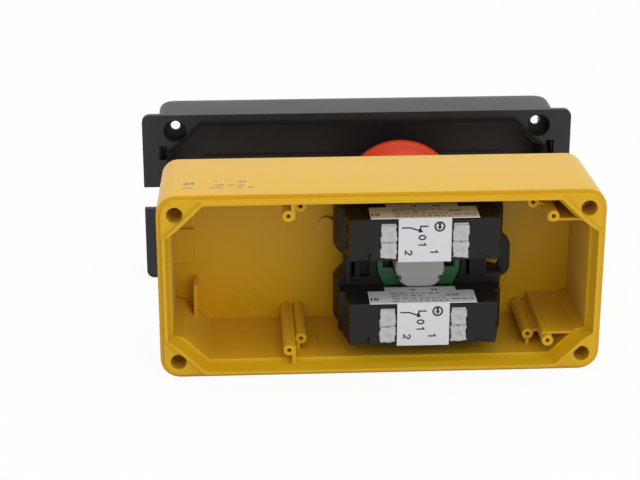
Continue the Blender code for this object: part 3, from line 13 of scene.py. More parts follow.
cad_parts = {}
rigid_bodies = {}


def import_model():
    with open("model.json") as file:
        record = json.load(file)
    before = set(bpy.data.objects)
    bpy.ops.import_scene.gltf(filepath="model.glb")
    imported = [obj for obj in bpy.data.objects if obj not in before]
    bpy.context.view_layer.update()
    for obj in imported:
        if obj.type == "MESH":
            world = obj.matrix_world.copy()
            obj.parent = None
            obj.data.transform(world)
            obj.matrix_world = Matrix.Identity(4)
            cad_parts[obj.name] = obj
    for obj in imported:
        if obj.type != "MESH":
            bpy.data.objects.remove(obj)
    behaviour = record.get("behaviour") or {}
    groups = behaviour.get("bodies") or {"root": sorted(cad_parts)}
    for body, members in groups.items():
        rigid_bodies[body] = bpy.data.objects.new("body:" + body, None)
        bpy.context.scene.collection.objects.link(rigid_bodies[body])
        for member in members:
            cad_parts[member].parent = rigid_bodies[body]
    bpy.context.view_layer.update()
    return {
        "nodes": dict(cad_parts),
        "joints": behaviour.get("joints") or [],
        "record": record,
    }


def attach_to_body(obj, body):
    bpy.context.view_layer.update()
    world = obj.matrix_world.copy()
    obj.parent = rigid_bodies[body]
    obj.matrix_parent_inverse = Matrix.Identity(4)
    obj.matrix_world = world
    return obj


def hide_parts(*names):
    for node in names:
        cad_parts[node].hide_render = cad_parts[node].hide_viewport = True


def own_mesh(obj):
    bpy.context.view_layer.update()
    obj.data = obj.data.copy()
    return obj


for item in list(bpy.data.objects):
    bpy.data.objects.remove(item, do_unlink=True)

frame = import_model()

# Camera at the photograph's place: metres, degrees and millimetres of focal length
CAMERA_PLACE = (-0.0447, -0.5683, 0.2454)
CAMERA_TURN = (68.92, 0.0, -2.99)
CAMERA_LENS = 100.74
CAMERA_SENSOR = 36.0
CAMERA_CLIP_START = 0.01

# Lamps: name, place, point they face, width and height, power in watts
LAMPS = (
    ("top_box", (0.0, -0.05, 0.9), (0.0, 0.0, 0.0), (1.0, 0.6), 3.2),
    ("front_box", (0.5, -0.95, 0.65), (0.0, 0.0, 0.03), (1.5, 0.9), 5.0),
)

# Light of the white surroundings in front of the object and behind it, and the directions it fades between
WORLD_FRONT = 0.45
WORLD_BACK = 0.90
WORLD_FADE_START = -0.6
WORLD_FADE_END = 0.8

# The floor: size, surface, and the share of plain white where it is seen directly
FLOOR_SIZE = 3.0
FLOOR_GREY = 0.86
FLOOR_ROUGHNESS = 0.9
FLOOR_SPECULAR = 0.1
FLOOR_WHITE_SHARE = 0.94

# Surface colours, linear
YELLOW = (0.70, 0.402, 0.003)
BLACK = (0.012, 0.011, 0.010)
BASE_BLACK = (0.014, 0.0135, 0.013)
RED = (0.70, 0.058, 0.010)
GREEN = (0.016, 0.125, 0.036)
WHITE = (0.42, 0.415, 0.41)
MARK_GREY = (0.23, 0.20, 0.10)
MILKY = (0.52, 0.52, 0.52)
LABEL = (0.70, 0.69, 0.72)
INK = (0.012, 0.012, 0.014)
RUBBER = (0.007, 0.007, 0.007)
STEEL = (0.60, 0.60, 0.58)
BRASS = (0.70, 0.52, 0.26)

# What all finishes share: cloudy unevenness, rounded edges, moulding grain, sheen, light let in
CLOUD_SCALE = 60.0
CLOUD_DETAIL = 4.0
ROUGHNESS_SPREAD = 0.05
EDGE_SAMPLES = 6
GRAIN_DETAIL = 3.0
GRAIN_DEPTH = 0.00005
SHEEN_ROUGHNESS = 0.4
TRANSLUCENT_DEPTH = 0.002

# Meshes: angles in degrees that make an edge sharp or leave it flat, and distances that count as none
SHARP_ANGLE = 30.0
TERMINAL_SHARP_ANGLE = 50.0
FLAT_ANGLE = 0.5
WELD_DISTANCE = 1e-6
PRINT_WELD_DISTANCE = 1e-8
NO_LENGTH = 1e-9

# Printing: thickness of the ink, stroke of the symbols, turn and height of the bold digits
INK_THICKNESS = 0.00002
SYMBOL_STROKE = 0.00048
DIGIT_HEIGHT = 0.0024
DIGIT_TURN = -90.0
LABEL_HALF_WIDTH = 0.0083
RING_STEPS = 36
MITRE_LIMIT = 0.5

# Rows of small digits: thickening, width of a digit and gaps between groups as shares of the height
SMALL_PRINT_HEIGHT = 0.00095
SMALL_PRINT_BOLD = 0.035
SMALL_PRINT_PITCH = 0.62
SMALL_PRINT_GAP = 0.6
WIDE_PRINT_GAP = 1.0
TEXT_CURVE_STEPS = 3

# Front of a label, in shares of its width and height from its upper left corner
SWITCH_LINES = (
    ((0.056, 0.195), (0.225, 0.195), (0.435, 0.285)),
    ((0.385, 0.215), (0.435, 0.285), (0.375, 0.300)),
    ((0.412, 0.255), (0.412, 0.165), (0.560, 0.165)),
)
FRONT_DIGITS = (("0", 0.448, 0.430), ("1", 0.448, 0.600), ("1", 0.672, 0.775), ("2", 0.192, 0.790))
ARROW_HUB = (0.772, 0.175)
ARROW_RADIUS = 0.087

# The circled arrow: places in shares of its radius, widths in shares of the stroke
ARROW_SHAFT_TOP = 0.80
ARROW_SHAFT_FOOT = 0.02
ARROW_HEAD_REACH = 0.58
ARROW_HEAD_DROP = 0.70
ARROW_RING_WIDTH = 1.2
ARROW_SHAFT_WIDTH = 1.6

# Rows on a label's upper part: groups of digits, left edge, level of their middle, height
SIDE_ROWS = (
    ("10", -0.0167, 0.0034, 0.0024),
    ("240 110 60 50 25 120 500 24 10", -0.0094, 0.0017, SMALL_PRINT_HEIGHT),
    ("3000 1500 220 110 48 24 12 60", -0.0096, 0.0037, SMALL_PRINT_HEIGHT),
    ("60947 512 1200 50", -0.0098, 0.0058, SMALL_PRINT_HEIGHT),
    ("600 300 14 22 16 30", -0.0098, 0.0078, SMALL_PRINT_HEIGHT),
    ("120 30", 0.0022, 0.0078, SMALL_PRINT_HEIGHT),
    ("16", -0.0036, 0.0107, 0.0016),
    ("24", 0.0034, 0.0107, 0.0016),
    ("0123", 0.0080, 0.0062, 0.0015),
    ("2000 1200 60", 0.0092, 0.0028, SMALL_PRINT_HEIGHT),
)

# Rows on the cover: the same, and the gap between groups
COVER_ROWS = (
    ("24", -0.0615, 0.0118, 0.0028, SMALL_PRINT_GAP),
    ("60947", -0.0619, 0.0073, 0.0011, WIDE_PRINT_GAP),
    ("10", -0.0522, 0.0141, 0.0012, SMALL_PRINT_GAP),
    ("24", -0.0444, 0.0132, 0.0020, SMALL_PRINT_GAP),
    ("240 120 60", -0.0516, 0.0098, 0.0015, SMALL_PRINT_GAP),
    ("0123 1 10 20", -0.0532, 0.0072, 0.0016, WIDE_PRINT_GAP),
)
COVER_DASH = ((-0.0490, 0.0150), (-0.0464, 0.0150))
COVER_DASH_WIDTH = 0.00025

# The cover's upper side: where its draft starts behind the rim's front, and how much it falls per metre
COVER_DRAFT_START = 0.0076
COVER_DRAFT_SLOPE = 0.0273
COVER_DRAFT_BAND = 0.0050

# Terminal pieces: the lip in front of the block, its rounded edges, and the grid it is made from
TERMINAL_RISE = 0.0005
TERMINAL_LIP = 0.0002
TERMINAL_DROP = 0.0006
TERMINAL_EDGE = 0.00042
TERMINAL_CELLS = 22
TERMINAL_PHASE = 1.9

# The lip's uneven outline: depth, share of its quick wave, its waves and how they shift
TERMINAL_WOBBLE = 0.00016
QUICK_SHARE = 0.7
SIDE_WAVES = (2.9, 7.3)
SIDE_SHIFT = 2.1
LEVEL_WAVES = (2.3, 6.1)
LEVEL_SHIFT = 1.3
LEVEL_PHASE = 1.7

# The lip's dimple: width, depth, drop below the middle, and the raised ring around it
DIMPLE_WIDTH = 0.0011
DIMPLE_DEPTH = 0.00030
DIMPLE_DROP = DIMPLE_WIDTH / 3
DIMPLE_RING_SHARE = 0.5
DIMPLE_RING_PLACE = 1.5
DIMPLE_RING_SPREAD = 0.35

# Painted shade: a flat near-black disc where the hole in the seam between two terminal pieces lies, in place of
# the hole's shaded inside
SEAM_SHADE_RADIUS = 0.00022
SEAM_SHADE_STEPS = 12
SEAM_HALF_GAP = 0.00015
SMALL_GAP = 0.00004

# Backs of the blocks' ramped notches, measured from the block's middle, front face and lower edge
RAMP_INNER = 0.01705
RAMP_OUTER = 0.02045
RAMP_FACE = 0.0010
RAMP_BACK = 0.00296
RAMP_TOP = 0.0027

# Outer walls of the slots beside the base's ears, measured from the base's middle and its front face
SLOT_WALL_INNER = 0.0692
SLOT_WALL_OUTER = 0.0709
SLOT_WALL_START = 0.00203
SLOT_WALL_END = 0.0060
SLOT_LEVEL = 0.01665
SLOT_HALF_HEIGHT = 0.00258

# Round ejector marks on the base's rear, placed from its middle
MARK_PLACES_ACROSS = (-0.052, -0.018, 0.018, 0.052)
MARK_PLACES_UP = (-0.017, 0.017)
MARK_RING_RADIUS = 0.0030
MARK_RING_WIDTH = 0.00025

# The holder's end post is shown as a low stub of this height
POST_STUB = 0.0020
HOLDER_POST_HEIGHT = 0.0110


def oval(half_width, half_height, degrees):
    """Point of an upright oval around the origin."""
    return (half_width * math.cos(math.radians(degrees)), half_height * math.sin(math.radians(degrees)))


# Digits as centre lines in a cell one unit high, with its middle at the origin
DIGIT_LINES = {
    "0": [oval(0.27, 0.42, 10 * step) for step in range(36)],
    "1": [(-0.20, 0.24), (0.05, 0.45), (0.05, -0.50)],
    "2": ([(-x, 0.20 + y) for x, y in (oval(0.27, 0.22, 20 * step) for step in range(10))]
          + [(0.22, 0.05), (-0.27, -0.42), (0.29, -0.42)]),
}


def shade(name, colour, roughness, metallic=0.0, grain=0.0, grain_size=0.0006, mottle=0.05, edge=0.0002,
          specular=0.5, translucent=0.0, sheen=0.0, gloss_tint=(1.0, 1.0, 1.0)):
    """A moulded or metal surface: softly uneven colour, fine moulding grain, and edges that catch the light."""
    made = bpy.data.materials.new(name)
    made.use_nodes = True
    tree = made.node_tree
    shader = tree.nodes["Principled BSDF"]
    shader.inputs["Metallic"].default_value = metallic
    shader.inputs["Specular IOR Level"].default_value = specular
    shader.inputs["Specular Tint"].default_value = (*gloss_tint, 1.0)
    shader.inputs["Sheen Weight"].default_value = sheen
    shader.inputs["Sheen Roughness"].default_value = SHEEN_ROUGHNESS
    if translucent:
        shader.inputs["Subsurface Weight"].default_value = translucent
        shader.inputs["Subsurface Radius"].default_value = (1.0, 1.0, 1.0)
        shader.inputs["Subsurface Scale"].default_value = TRANSLUCENT_DEPTH
    place = tree.nodes.new("ShaderNodeTexCoord")

    cloud = tree.nodes.new("ShaderNodeTexNoise")
    cloud.inputs["Scale"].default_value = CLOUD_SCALE
    cloud.inputs["Detail"].default_value = CLOUD_DETAIL
    tree.links.new(place.outputs["Object"], cloud.inputs["Vector"])
    blend = tree.nodes.new("ShaderNodeMix")
    blend.data_type = "RGBA"
    blend.inputs["A"].default_value = (*[part * (1 - mottle) for part in colour], 1.0)
    blend.inputs["B"].default_value = (*[min(1.0, part * (1 + mottle)) for part in colour], 1.0)
    tree.links.new(cloud.outputs["Fac"], blend.inputs["Factor"])
    tree.links.new(blend.outputs["Result"], shader.inputs["Base Color"])

    spread = tree.nodes.new("ShaderNodeMapRange")
    spread.inputs["To Min"].default_value = roughness - ROUGHNESS_SPREAD
    spread.inputs["To Max"].default_value = roughness + ROUGHNESS_SPREAD
    tree.links.new(cloud.outputs["Fac"], spread.inputs["Value"])
    tree.links.new(spread.outputs["Result"], shader.inputs["Roughness"])

    rounding = tree.nodes.new("ShaderNodeBevel")
    rounding.samples = EDGE_SAMPLES
    rounding.inputs["Radius"].default_value = edge
    normal = rounding.outputs["Normal"]
    if grain:
        fine = tree.nodes.new("ShaderNodeTexNoise")
        fine.inputs["Scale"].default_value = 1 / grain_size
        fine.inputs["Detail"].default_value = GRAIN_DETAIL
        tree.links.new(place.outputs["Object"], fine.inputs["Vector"])
        bump = tree.nodes.new("ShaderNodeBump")
        bump.inputs["Strength"].default_value = grain
        bump.inputs["Distance"].default_value = GRAIN_DEPTH
        tree.links.new(fine.outputs["Fac"], bump.inputs["Height"])
        tree.links.new(normal, bump.inputs["Normal"])
        normal = bump.outputs["Normal"]
    tree.links.new(normal, shader.inputs["Normal"])
    return made


FINISH = {
    "yellow_plastic": shade("yellow_finish", YELLOW, 0.40, grain=0.2, grain_size=0.0005, mottle=0.03,
                            edge=0.0003, specular=0.3, sheen=0.10),
    "base_plastic": shade("base_finish", BASE_BLACK, 0.44, grain=0.3, grain_size=0.0005, mottle=0.12,
                          gloss_tint=(0.86, 0.86, 1.0)),
    "black_plastic": shade("black_finish", BLACK, 0.45, grain=0.3, grain_size=0.0004, mottle=0.12,
                           specular=0.22),
    "red_plastic": shade("red_finish", RED, 0.38, grain=0.1, mottle=0.04, specular=0.25),
    "green_plastic": shade("green_finish", GREEN, 0.42, grain=0.15, mottle=0.08),
    "white_plastic": shade("white_finish", WHITE, 0.45, grain=0.1, mottle=0.03),
    "milky_plastic": shade("milky_finish", MILKY, 0.26, grain=0.15, mottle=0.05, translucent=0.3),
    "label": shade("label_finish", LABEL, 0.5, grain=0.05, mottle=0.01, edge=0.00005),
    "rubber": shade("rubber_finish", RUBBER, 0.75, grain=0.4, mottle=0.15, specular=0.15),
    "steel": shade("steel_finish", STEEL, 0.33, metallic=1.0, grain=0.1, mottle=0.05),
    "brass": shade("brass_finish", BRASS, 0.3, metallic=1.0, grain=0.1, mottle=0.05),
}
# the ink's near black also serves as the painted shade of the seam holes
INK_FINISH = shade("ink_finish", INK, 0.5, mottle=0.1, edge=0.00001)
MARK_FINISH = shade("mark_finish", MARK_GREY, 0.5, mottle=0.25, edge=0.00001)

SLOT = {part["node"]: part["material_slot"] for part in frame["record"]["subparts"]}
BODY = {node: body for body, nodes in frame["record"]["behaviour"]["bodies"].items() for node in nodes}


def extent(points):
    """Lowest and highest corner of the box around points."""
    return (Vector([min(point[axis] for point in points) for axis in range(3)]),
            Vector([max(point[axis] for point in points) for axis in range(3)]))


def span(node):
    """Lowest and highest corner of a CAD node."""
    item = frame["nodes"][node]
    return extent([item.matrix_world @ vertex.co for vertex in item.data.vertices])


def attach(piece, body, finish):
    """Put a piece in the scene with its finish, on the body it moves with."""
    bpy.context.scene.collection.objects.link(piece)
    piece.data.materials.append(finish)
    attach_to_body(piece, body)


def make_mesh(name, bm, angle=SHARP_ANGLE):
    """A mesh with smooth faces and sharp edges wherever two faces turn by more than an angle in degrees."""
    mesh = bpy.data.meshes.new(name)
    bmesh.ops.recalc_face_normals(bm, faces=bm.faces)
    for face in bm.faces:
        face.smooth = True
    for edge in bm.edges:
        edge.smooth = len(edge.link_faces) == 2 and edge.calc_face_angle() < math.radians(angle)
    bm.to_mesh(mesh)
    bm.free()
    return mesh


def stand_in(node, bm, angle=SHARP_ANGLE):
    """Put a finished mesh in the place of a CAD node."""
    piece = bpy.data.objects.new(f"{node}_finished", make_mesh(f"{node}_finished", bm, angle))
    attach(piece, BODY[node], FINISH[SLOT[node]])
    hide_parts(node)
    return piece


def dress(node):
    """Stand a smooth-shaded, welded copy in for a CAD node."""
    bare = frame["nodes"][node].data.copy()
    for layer in [layer.name for layer in bare.attributes if not layer.is_required]:
        bare.attributes.remove(bare.attributes[layer])
    bm = bmesh.new()
    bm.from_mesh(bare)
    bpy.data.meshes.remove(bare)
    bm.transform(frame["nodes"][node].matrix_world)
    bmesh.ops.remove_doubles(bm, verts=bm.verts, dist=WELD_DISTANCE)
    bmesh.ops.dissolve_limit(bm, angle_limit=math.radians(FLAT_ANGLE), verts=bm.verts, edges=bm.edges)
    if node == "contact_holder":
        stub = min(vertex.co.y for vertex in bm.verts) + HOLDER_POST_HEIGHT - POST_STUB
        for vertex in bm.verts:
            vertex.co.y = max(vertex.co.y, stub)
    return stand_in(node, bm)


def add_box(bm, low, high):
    """A plain box; gives its corners."""
    corners = bmesh.ops.create_cube(bm, size=1.0)["verts"]
    for vertex in corners:
        vertex.co = Vector([(low[axis] + high[axis]) / 2 + vertex.co[axis] * (high[axis] - low[axis])
                            for axis in range(3)])
    return corners


def add_block(bm, low, high):
    """A box with narrow chamfers on all its edges."""
    edges = {edge for vertex in add_box(bm, low, high) for edge in vertex.link_edges}
    bmesh.ops.bevel(bm, geom=list(edges), offset=SMALL_GAP, segments=2, profile=0.5, affect="EDGES")


def wobble(along, phase, waves):
    """How far the lip's outline strays at a place along an edge; places run from -1 to 1."""
    slow, quick = waves
    return TERMINAL_WOBBLE * (math.sin(slow * along + phase) + QUICK_SHARE * math.sin(quick * along + 2 * phase))


def soft_terminal(node, phase):
    """A terminal piece: its body in the well, and a soft, slightly uneven lip with a dimple in front of it."""
    low, high = span(node)
    face = span(node.split("_terminal")[0] + "_housing")[0].y
    half_x = (high.x - low.x) / 2 + TERMINAL_LIP
    half_z = (high.z - low.z) / 2
    middle_x = (low.x + high.x) / 2
    middle_z = (low.z + high.z) / 2 - TERMINAL_DROP
    bm = bmesh.new()
    for vertex in add_box(bm, low, high):
        vertex.co.y = max(vertex.co.y, face - SMALL_GAP / 2)

    def front(u, v):
        """Point of the lip's face; u and v run from -1 to 1."""
        side = phase + (SIDE_SHIFT if u > 0 else 0.0)
        level = LEVEL_PHASE * phase + (LEVEL_SHIFT if v > 0 else 0.0)
        x = u * half_x + u ** 4 * wobble(v, side, SIDE_WAVES)
        z = v * half_z + v ** 4 * wobble(u, level, LEVEL_WAVES)
        fall = 0.0
        for inner in (half_x * (1 - abs(u)), half_z * (1 - abs(v))):
            if inner < TERMINAL_EDGE:
                rest = TERMINAL_EDGE - inner
                fall += TERMINAL_EDGE - math.sqrt(max(0.0, TERMINAL_EDGE ** 2 - rest ** 2))
        away = math.hypot(x, z + DIMPLE_DROP) / DIMPLE_WIDTH
        ring_height = math.exp(-((away - DIMPLE_RING_PLACE) / DIMPLE_RING_SPREAD) ** 2)
        dimple = DIMPLE_DEPTH * (math.exp(-away ** 4) - DIMPLE_RING_SHARE * ring_height)
        return Vector((middle_x + x, face - TERMINAL_RISE + min(fall, TERMINAL_EDGE) + dimple, middle_z + z))

    steps = [math.sin(math.pi / 2 * (2 * cell / TERMINAL_CELLS - 1)) for cell in range(TERMINAL_CELLS + 1)]
    grid = [[bm.verts.new(front(u, v)) for u in steps] for v in steps]
    for below, above in zip(grid, grid[1:]):
        for place in range(TERMINAL_CELLS):
            bm.faces.new((below[place], below[place + 1], above[place + 1], above[place]))
    rim = grid[0][:-1] + [row[-1] for row in grid[:-1]] + grid[-1][:0:-1] + [row[0] for row in grid[:0:-1]]
    rear = [bm.verts.new((vertex.co.x, face - SMALL_GAP, vertex.co.z)) for vertex in rim]
    for place in range(len(rim)):
        after = (place + 1) % len(rim)
        bm.faces.new((rim[place], rim[after], rear[after], rear[place]))
    bm.faces.new(rear)
    stand_in(node, bm, TERMINAL_SHARP_ANGLE)


def shade_seam_holes(block):
    """Painted shade: a flat near-black disc, in place of the shaded inside of the small hole in the seam between
    the two terminal pieces at each end of a block.
    """
    face = span(f"{block}_housing")[0].y
    for side in ("left", "right"):
        low, high = span(f"{block}_terminal_{side}_lower")
        bm = bmesh.new()
        add_patch(bm, ring((0.0, 0.0), SEAM_SHADE_RADIUS, SEAM_SHADE_STEPS))
        seam = high.z + SEAM_HALF_GAP - TERMINAL_DROP
        place = Vector(((low.x + high.x) / 2, face - TERMINAL_RISE - SMALL_GAP / 2, seam))
        # painted shade: no hole is cut, the ink-dark disc stands for its shaded inside
        put_print(f"{block}_seam_hole_shade_{side}", bm, place, (1, 0, 0), (0, 0, 1), BODY[f"{block}_housing"])


def back_ramps(block):
    """Material behind the two ramped notches in a block's lower edge."""
    low, high = span(f"{block}_housing")
    middle = (low.x + high.x) / 2
    bm = bmesh.new()
    for side in (-1, 1):
        near, far = sorted((middle + side * RAMP_INNER, middle + side * RAMP_OUTER))
        add_block(bm, (near, low.y + RAMP_FACE, low.z + SMALL_GAP),
                  (far, low.y + RAMP_BACK, low.z + RAMP_TOP))
    piece = bpy.data.objects.new(f"{block}_ramp_backs", make_mesh(f"{block}_ramp_backs", bm))
    attach(piece, BODY[f"{block}_housing"], FINISH["black_plastic"])


def mark_base_rear():
    """Faint round ejector marks on the outer face of the base's floor."""
    low, high = span("base_tray")
    bm = bmesh.new()
    for x in MARK_PLACES_ACROSS:
        for y in MARK_PLACES_UP:
            stroke(bm, ring((x, y), MARK_RING_RADIUS), MARK_RING_WIDTH, closed=True)
    place = Vector(((low.x + high.x) / 2, high.y - SMALL_GAP / 2, (low.z + high.z) / 2))
    put_print("base_rear_marks", bm, place, (-1, 0, 0), (0, 0, 1), BODY["base_tray"], FINISH["base_plastic"])


def close_base_slots():
    """Thin outer walls of the four upright slots beside the base's ears."""
    low, high = span("base_tray")
    middle = (low.z + high.z) / 2
    bm = bmesh.new()
    for side in (-1, 1):
        near, far = sorted((side * SLOT_WALL_INNER, side * SLOT_WALL_OUTER))
        for level in (middle - SLOT_LEVEL, middle + SLOT_LEVEL):
            add_block(bm, (near, low.y + SLOT_WALL_START, level - SLOT_HALF_HEIGHT),
                      (far, low.y + SLOT_WALL_END, level + SLOT_HALF_HEIGHT))
    piece = bpy.data.objects.new("base_slot_walls", make_mesh("base_slot_walls", bm))
    attach(piece, BODY["base_tray"], FINISH["base_plastic"])


def ring(centre, radius, steps=RING_STEPS):
    """Points of a circle on the printed plane."""
    around = [oval(radius, radius, 360.0 * step / steps) for step in range(steps)]
    return [(centre[0] + x, centre[1] + y) for x, y in around]


def stroke(bm, points, width, closed=False):
    """A flat line of even width through points (x, y) of the printed plane, with mitred corners."""
    count = len(points)
    sides = []
    for place in range(count):
        before = Vector(points[place - 1] if closed or place else points[place])
        after = Vector(points[(place + 1) % count] if closed or place < count - 1 else points[place])
        here = Vector(points[place])
        ways = [way.normalized() for way in (here - before, after - here) if way.length > NO_LENGTH]
        along = sum(ways, Vector((0.0, 0.0))).normalized()
        across = Vector((-along.y, along.x))
        reach = width / 2 / max(MITRE_LIMIT, across.dot(Vector((-ways[0].y, ways[0].x))))
        sides.append((here + across * reach, here - across * reach))
    pairs = list(zip(sides, sides[1:])) + ([(sides[-1], sides[0])] if closed else [])
    for (left, right), (far_left, far_right) in pairs:
        add_patch(bm, [right, far_right, far_left, left])


def add_patch(bm, outline):
    """A thin closed prism on the printed plane, which is z = 0 with the ink above it."""
    low = [bm.verts.new((x, y, 0.0)) for x, y in outline]
    high = [bm.verts.new((x, y, INK_THICKNESS)) for x, y in outline]
    bm.faces.new(reversed(low))
    bm.faces.new(high)
    for place in range(len(outline)):
        after = (place + 1) % len(outline)
        bm.faces.new((low[place], low[after], high[after], high[place]))


def add_text(bm, words, centre, height):
    """Plain digits, centred on a point of the printed plane."""
    curve = bpy.data.curves.new("print", "FONT")
    curve.body = words
    curve.size = 1.0
    curve.align_x = "CENTER"
    curve.align_y = "CENTER"
    curve.offset = SMALL_PRINT_BOLD
    curve.extrude = 0.5  # one unit thick, scaled to the ink's thickness below
    curve.resolution_u = TEXT_CURVE_STEPS
    item = bpy.data.objects.new("print", curve)
    bpy.context.scene.collection.objects.link(item)
    mesh = bpy.data.meshes.new_from_object(item.evaluated_get(bpy.context.evaluated_depsgraph_get()))
    low, high = extent([vertex.co for vertex in mesh.vertices])
    scale = height / (high.y - low.y)
    middle = (low + high) / 2
    middle.z = low.z
    mesh.transform(Matrix.Translation((*centre, 0.0)) @ Matrix.Diagonal((scale, scale, INK_THICKNESS, 1.0))
                   @ Matrix.Translation(-middle))
    bm.from_mesh(mesh)
    bpy.data.objects.remove(item, do_unlink=True)
    bpy.data.curves.remove(curve)
    bpy.data.meshes.remove(mesh)


def add_row(bm, words, left, level, height, gap=SMALL_PRINT_GAP):
    """A row of plain digit groups that starts at a left edge, with its middle at a level."""
    x = left
    for group in words.split():
        room = height * SMALL_PRINT_PITCH * len(group)
        add_text(bm, group, (x + room / 2, level), height)
        x += room + height * gap


def add_digit(bm, digit, centre):
    """One bold digit of even strokes, turned as on the label."""
    turning = Matrix.Rotation(math.radians(DIGIT_TURN), 2)
    points = [tuple(Vector(centre) + turning @ (Vector(point) * DIGIT_HEIGHT)) for point in DIGIT_LINES[digit]]
    stroke(bm, points, SYMBOL_STROKE, closed=digit == "0")


def put_print(name, bm, place, right, up, body, finish=INK_FINISH):
    """Lay printed shapes on a surface: the plane's origin, its right and its up direction."""
    right, up = Vector(right), Vector(up)
    turn = Matrix((right, up, right.cross(up))).transposed().to_4x4()
    bmesh.ops.remove_doubles(bm, verts=bm.verts, dist=PRINT_WELD_DISTANCE)
    bm.transform(Matrix.Translation(place) @ turn)
    piece = bpy.data.objects.new(name, make_mesh(name, bm))
    attach(piece, body, finish)


def print_block_front(block):
    """Contact symbol, circled arrow and the digits on the front of a block's label."""
    low, high = span(f"{block}_label")
    housing_low, housing_high = span(f"{block}_housing")
    width = 2 * LABEL_HALF_WIDTH
    height = housing_high.z - housing_low.z
    bm = bmesh.new()

    def at(across, down):
        return (width * (across - 0.5), height * (0.5 - down))

    for points in SWITCH_LINES:
        stroke(bm, [at(across, down) for across, down in points], SYMBOL_STROKE)
    x, y = at(*ARROW_HUB)
    radius = width * ARROW_RADIUS
    stroke(bm, ring((x, y), radius), SYMBOL_STROKE * ARROW_RING_WIDTH, closed=True)
    stroke(bm, [(x, y + radius * ARROW_SHAFT_TOP), (x, y + radius * ARROW_SHAFT_FOOT)],
           SYMBOL_STROKE * ARROW_SHAFT_WIDTH)
    add_patch(bm, [(x - radius * ARROW_HEAD_REACH, y), (x, y - radius * ARROW_HEAD_DROP),
                   (x + radius * ARROW_HEAD_REACH, y)])
    for digit, across, down in FRONT_DIGITS:
        add_digit(bm, digit, at(across, down))
    place = Vector(((low.x + high.x) / 2, low.y, (housing_low.z + housing_high.z) / 2))
    put_print(f"{block}_front_print", bm, place, (1, 0, 0), (0, 0, 1), BODY[f"{block}_label"])


def print_block_side(block):
    """Rows of fine plain digits on the part of the label that lies on the block's upper side."""
    low, high = span(f"{block}_label")
    bm = bmesh.new()
    for row in SIDE_ROWS:
        add_row(bm, *row)
    place = Vector(((low.x + high.x) / 2, low.y, high.z))
    put_print(f"{block}_side_print", bm, place, (1, 0, 0), (0, 1, 0), BODY[f"{block}_label"])


def print_cover():
    """Faint grey rows of plain digits on the cover's upper side, near its left end."""
    low, high = span("cover_shell")
    bm = bmesh.new()
    for row in COVER_ROWS:
        add_row(bm, *row)
    stroke(bm, COVER_DASH, COVER_DASH_WIDTH)
    bmesh.ops.translate(bm, verts=bm.verts, vec=(0.0, -COVER_DRAFT_BAND, 0.0))
    place = Vector(((low.x + high.x) / 2, low.y + COVER_DRAFT_START, high.z))
    up = Vector((0.0, 1.0, -COVER_DRAFT_SLOPE)).normalized()
    put_print("cover_print", bm, place, (1, 0, 0), up, BODY["cover_shell"], MARK_FINISH)


def squeeze_springs(springs):
    """Give each spring that a joint presses a mesh of its own."""
    for joint in frame["joints"]:
        for row in joint.get("deforming_nodes", ()):
            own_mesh(springs[row["node"]])


def seen_directly(tree):
    """1 for camera, glossy and transmission rays, which see plain white, and 0 for the light on the object."""
    paths = tree.nodes.new("ShaderNodeLightPath")
    seen = paths.outputs["Is Camera Ray"]
    for ray in ("Is Glossy Ray", "Is Transmission Ray"):
        either = tree.nodes.new("ShaderNodeMath")
        either.operation = "MAXIMUM"
        tree.links.new(seen, either.inputs[0])
        tree.links.new(paths.outputs[ray], either.inputs[1])
        seen = either.outputs["Value"]
    return seen


def make_floor():
    """White floor that fades into the white background and keeps a faint shadow."""
    bm = bmesh.new()
    bmesh.ops.create_grid(bm, x_segments=1, y_segments=1, size=FLOOR_SIZE)
    mesh = bpy.data.meshes.new("floor")
    bm.to_mesh(mesh)
    bm.free()
    floor = bpy.data.objects.new("floor", mesh)
    bpy.context.scene.collection.objects.link(floor)
    made = bpy.data.materials.new("floor_white")
    made.use_nodes = True
    tree = made.node_tree
    shader = tree.nodes["Principled BSDF"]
    shader.inputs["Base Color"].default_value = (FLOOR_GREY, FLOOR_GREY, FLOOR_GREY, 1.0)
    shader.inputs["Roughness"].default_value = FLOOR_ROUGHNESS
    shader.inputs["Specular IOR Level"].default_value = FLOOR_SPECULAR
    glow = tree.nodes.new("ShaderNodeEmission")
    glow.inputs["Color"].default_value = (1.0, 1.0, 1.0, 1.0)
    share = tree.nodes.new("ShaderNodeMath")
    share.operation = "MULTIPLY"
    share.inputs[1].default_value = FLOOR_WHITE_SHARE
    tree.links.new(seen_directly(tree), share.inputs[0])
    lift = tree.nodes.new("ShaderNodeMixShader")
    tree.links.new(share.outputs["Value"], lift.inputs["Fac"])
    tree.links.new(shader.outputs["BSDF"], lift.inputs[1])
    tree.links.new(glow.outputs["Emission"], lift.inputs[2])
    tree.links.new(lift.outputs["Shader"], tree.nodes["Material Output"].inputs["Surface"])
    mesh.materials.append(made)


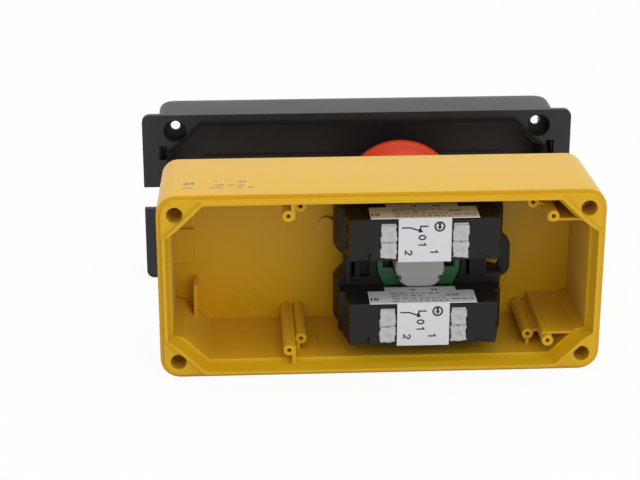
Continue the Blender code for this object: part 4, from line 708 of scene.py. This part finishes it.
def make_world():
    """White behind and above the object, dim behind the camera, and pure white where it is seen directly."""
    world = bpy.data.worlds.new("studio")
    bpy.context.scene.world = world
    world.use_nodes = True
    tree = world.node_tree
    background = tree.nodes["Background"]
    background.inputs["Color"].default_value = (1.0, 1.0, 1.0, 1.0)
    place = tree.nodes.new("ShaderNodeTexCoord")
    parts = tree.nodes.new("ShaderNodeSeparateXYZ")
    tree.links.new(place.outputs["Generated"], parts.inputs["Vector"])
    dome = tree.nodes.new("ShaderNodeMapRange")
    dome.inputs["From Min"].default_value = WORLD_FADE_START
    dome.inputs["From Max"].default_value = WORLD_FADE_END
    dome.inputs["To Min"].default_value = WORLD_FRONT
    dome.inputs["To Max"].default_value = WORLD_BACK
    tree.links.new(parts.outputs["Y"], dome.inputs["Value"])
    level = tree.nodes.new("ShaderNodeMix")
    tree.links.new(seen_directly(tree), level.inputs["Factor"])
    tree.links.new(dome.outputs["Result"], level.inputs["A"])
    level.inputs["B"].default_value = 1.0
    tree.links.new(level.outputs["Result"], background.inputs["Strength"])


def make_lamp(name, place, aim, size, power):
    """A soft rectangular lamp that faces a point."""
    lamp = bpy.data.lights.new(name, "AREA")
    lamp.shape = "RECTANGLE"
    lamp.size, lamp.size_y = size
    lamp.energy = power
    made = bpy.data.objects.new(name, lamp)
    bpy.context.scene.collection.objects.link(made)
    made.location = place
    made.rotation_euler = (Vector(aim) - Vector(place)).to_track_quat("-Z", "Y").to_euler()


def make_camera():
    """The camera at the photograph's place."""
    camera = bpy.data.cameras.new("camera")
    camera.lens = CAMERA_LENS
    camera.sensor_width = CAMERA_SENSOR
    camera.sensor_fit = "HORIZONTAL"
    camera.clip_start = CAMERA_CLIP_START
    made = bpy.data.objects.new("camera", camera)
    bpy.context.scene.collection.objects.link(made)
    made.location = CAMERA_PLACE
    made.rotation_euler = [math.radians(part) for part in CAMERA_TURN]
    bpy.context.scene.camera = made


finished = {}
for number, node in enumerate(sorted(frame["nodes"])):
    if "terminal" in node:
        soft_terminal(node, TERMINAL_PHASE * number)
    else:
        finished[node] = dress(node)
squeeze_springs(finished)
for block in ("upper_block", "lower_block"):
    print_block_front(block)
    print_block_side(block)
    back_ramps(block)
    # painted shade for the holes in the terminals' seams
    shade_seam_holes(block)
print_cover()
close_base_slots()
mark_base_rear()

make_floor()
make_world()
for lamp_row in LAMPS:
    make_lamp(*lamp_row)
make_camera()
bpy.context.scene.view_settings.view_transform = "Standard"
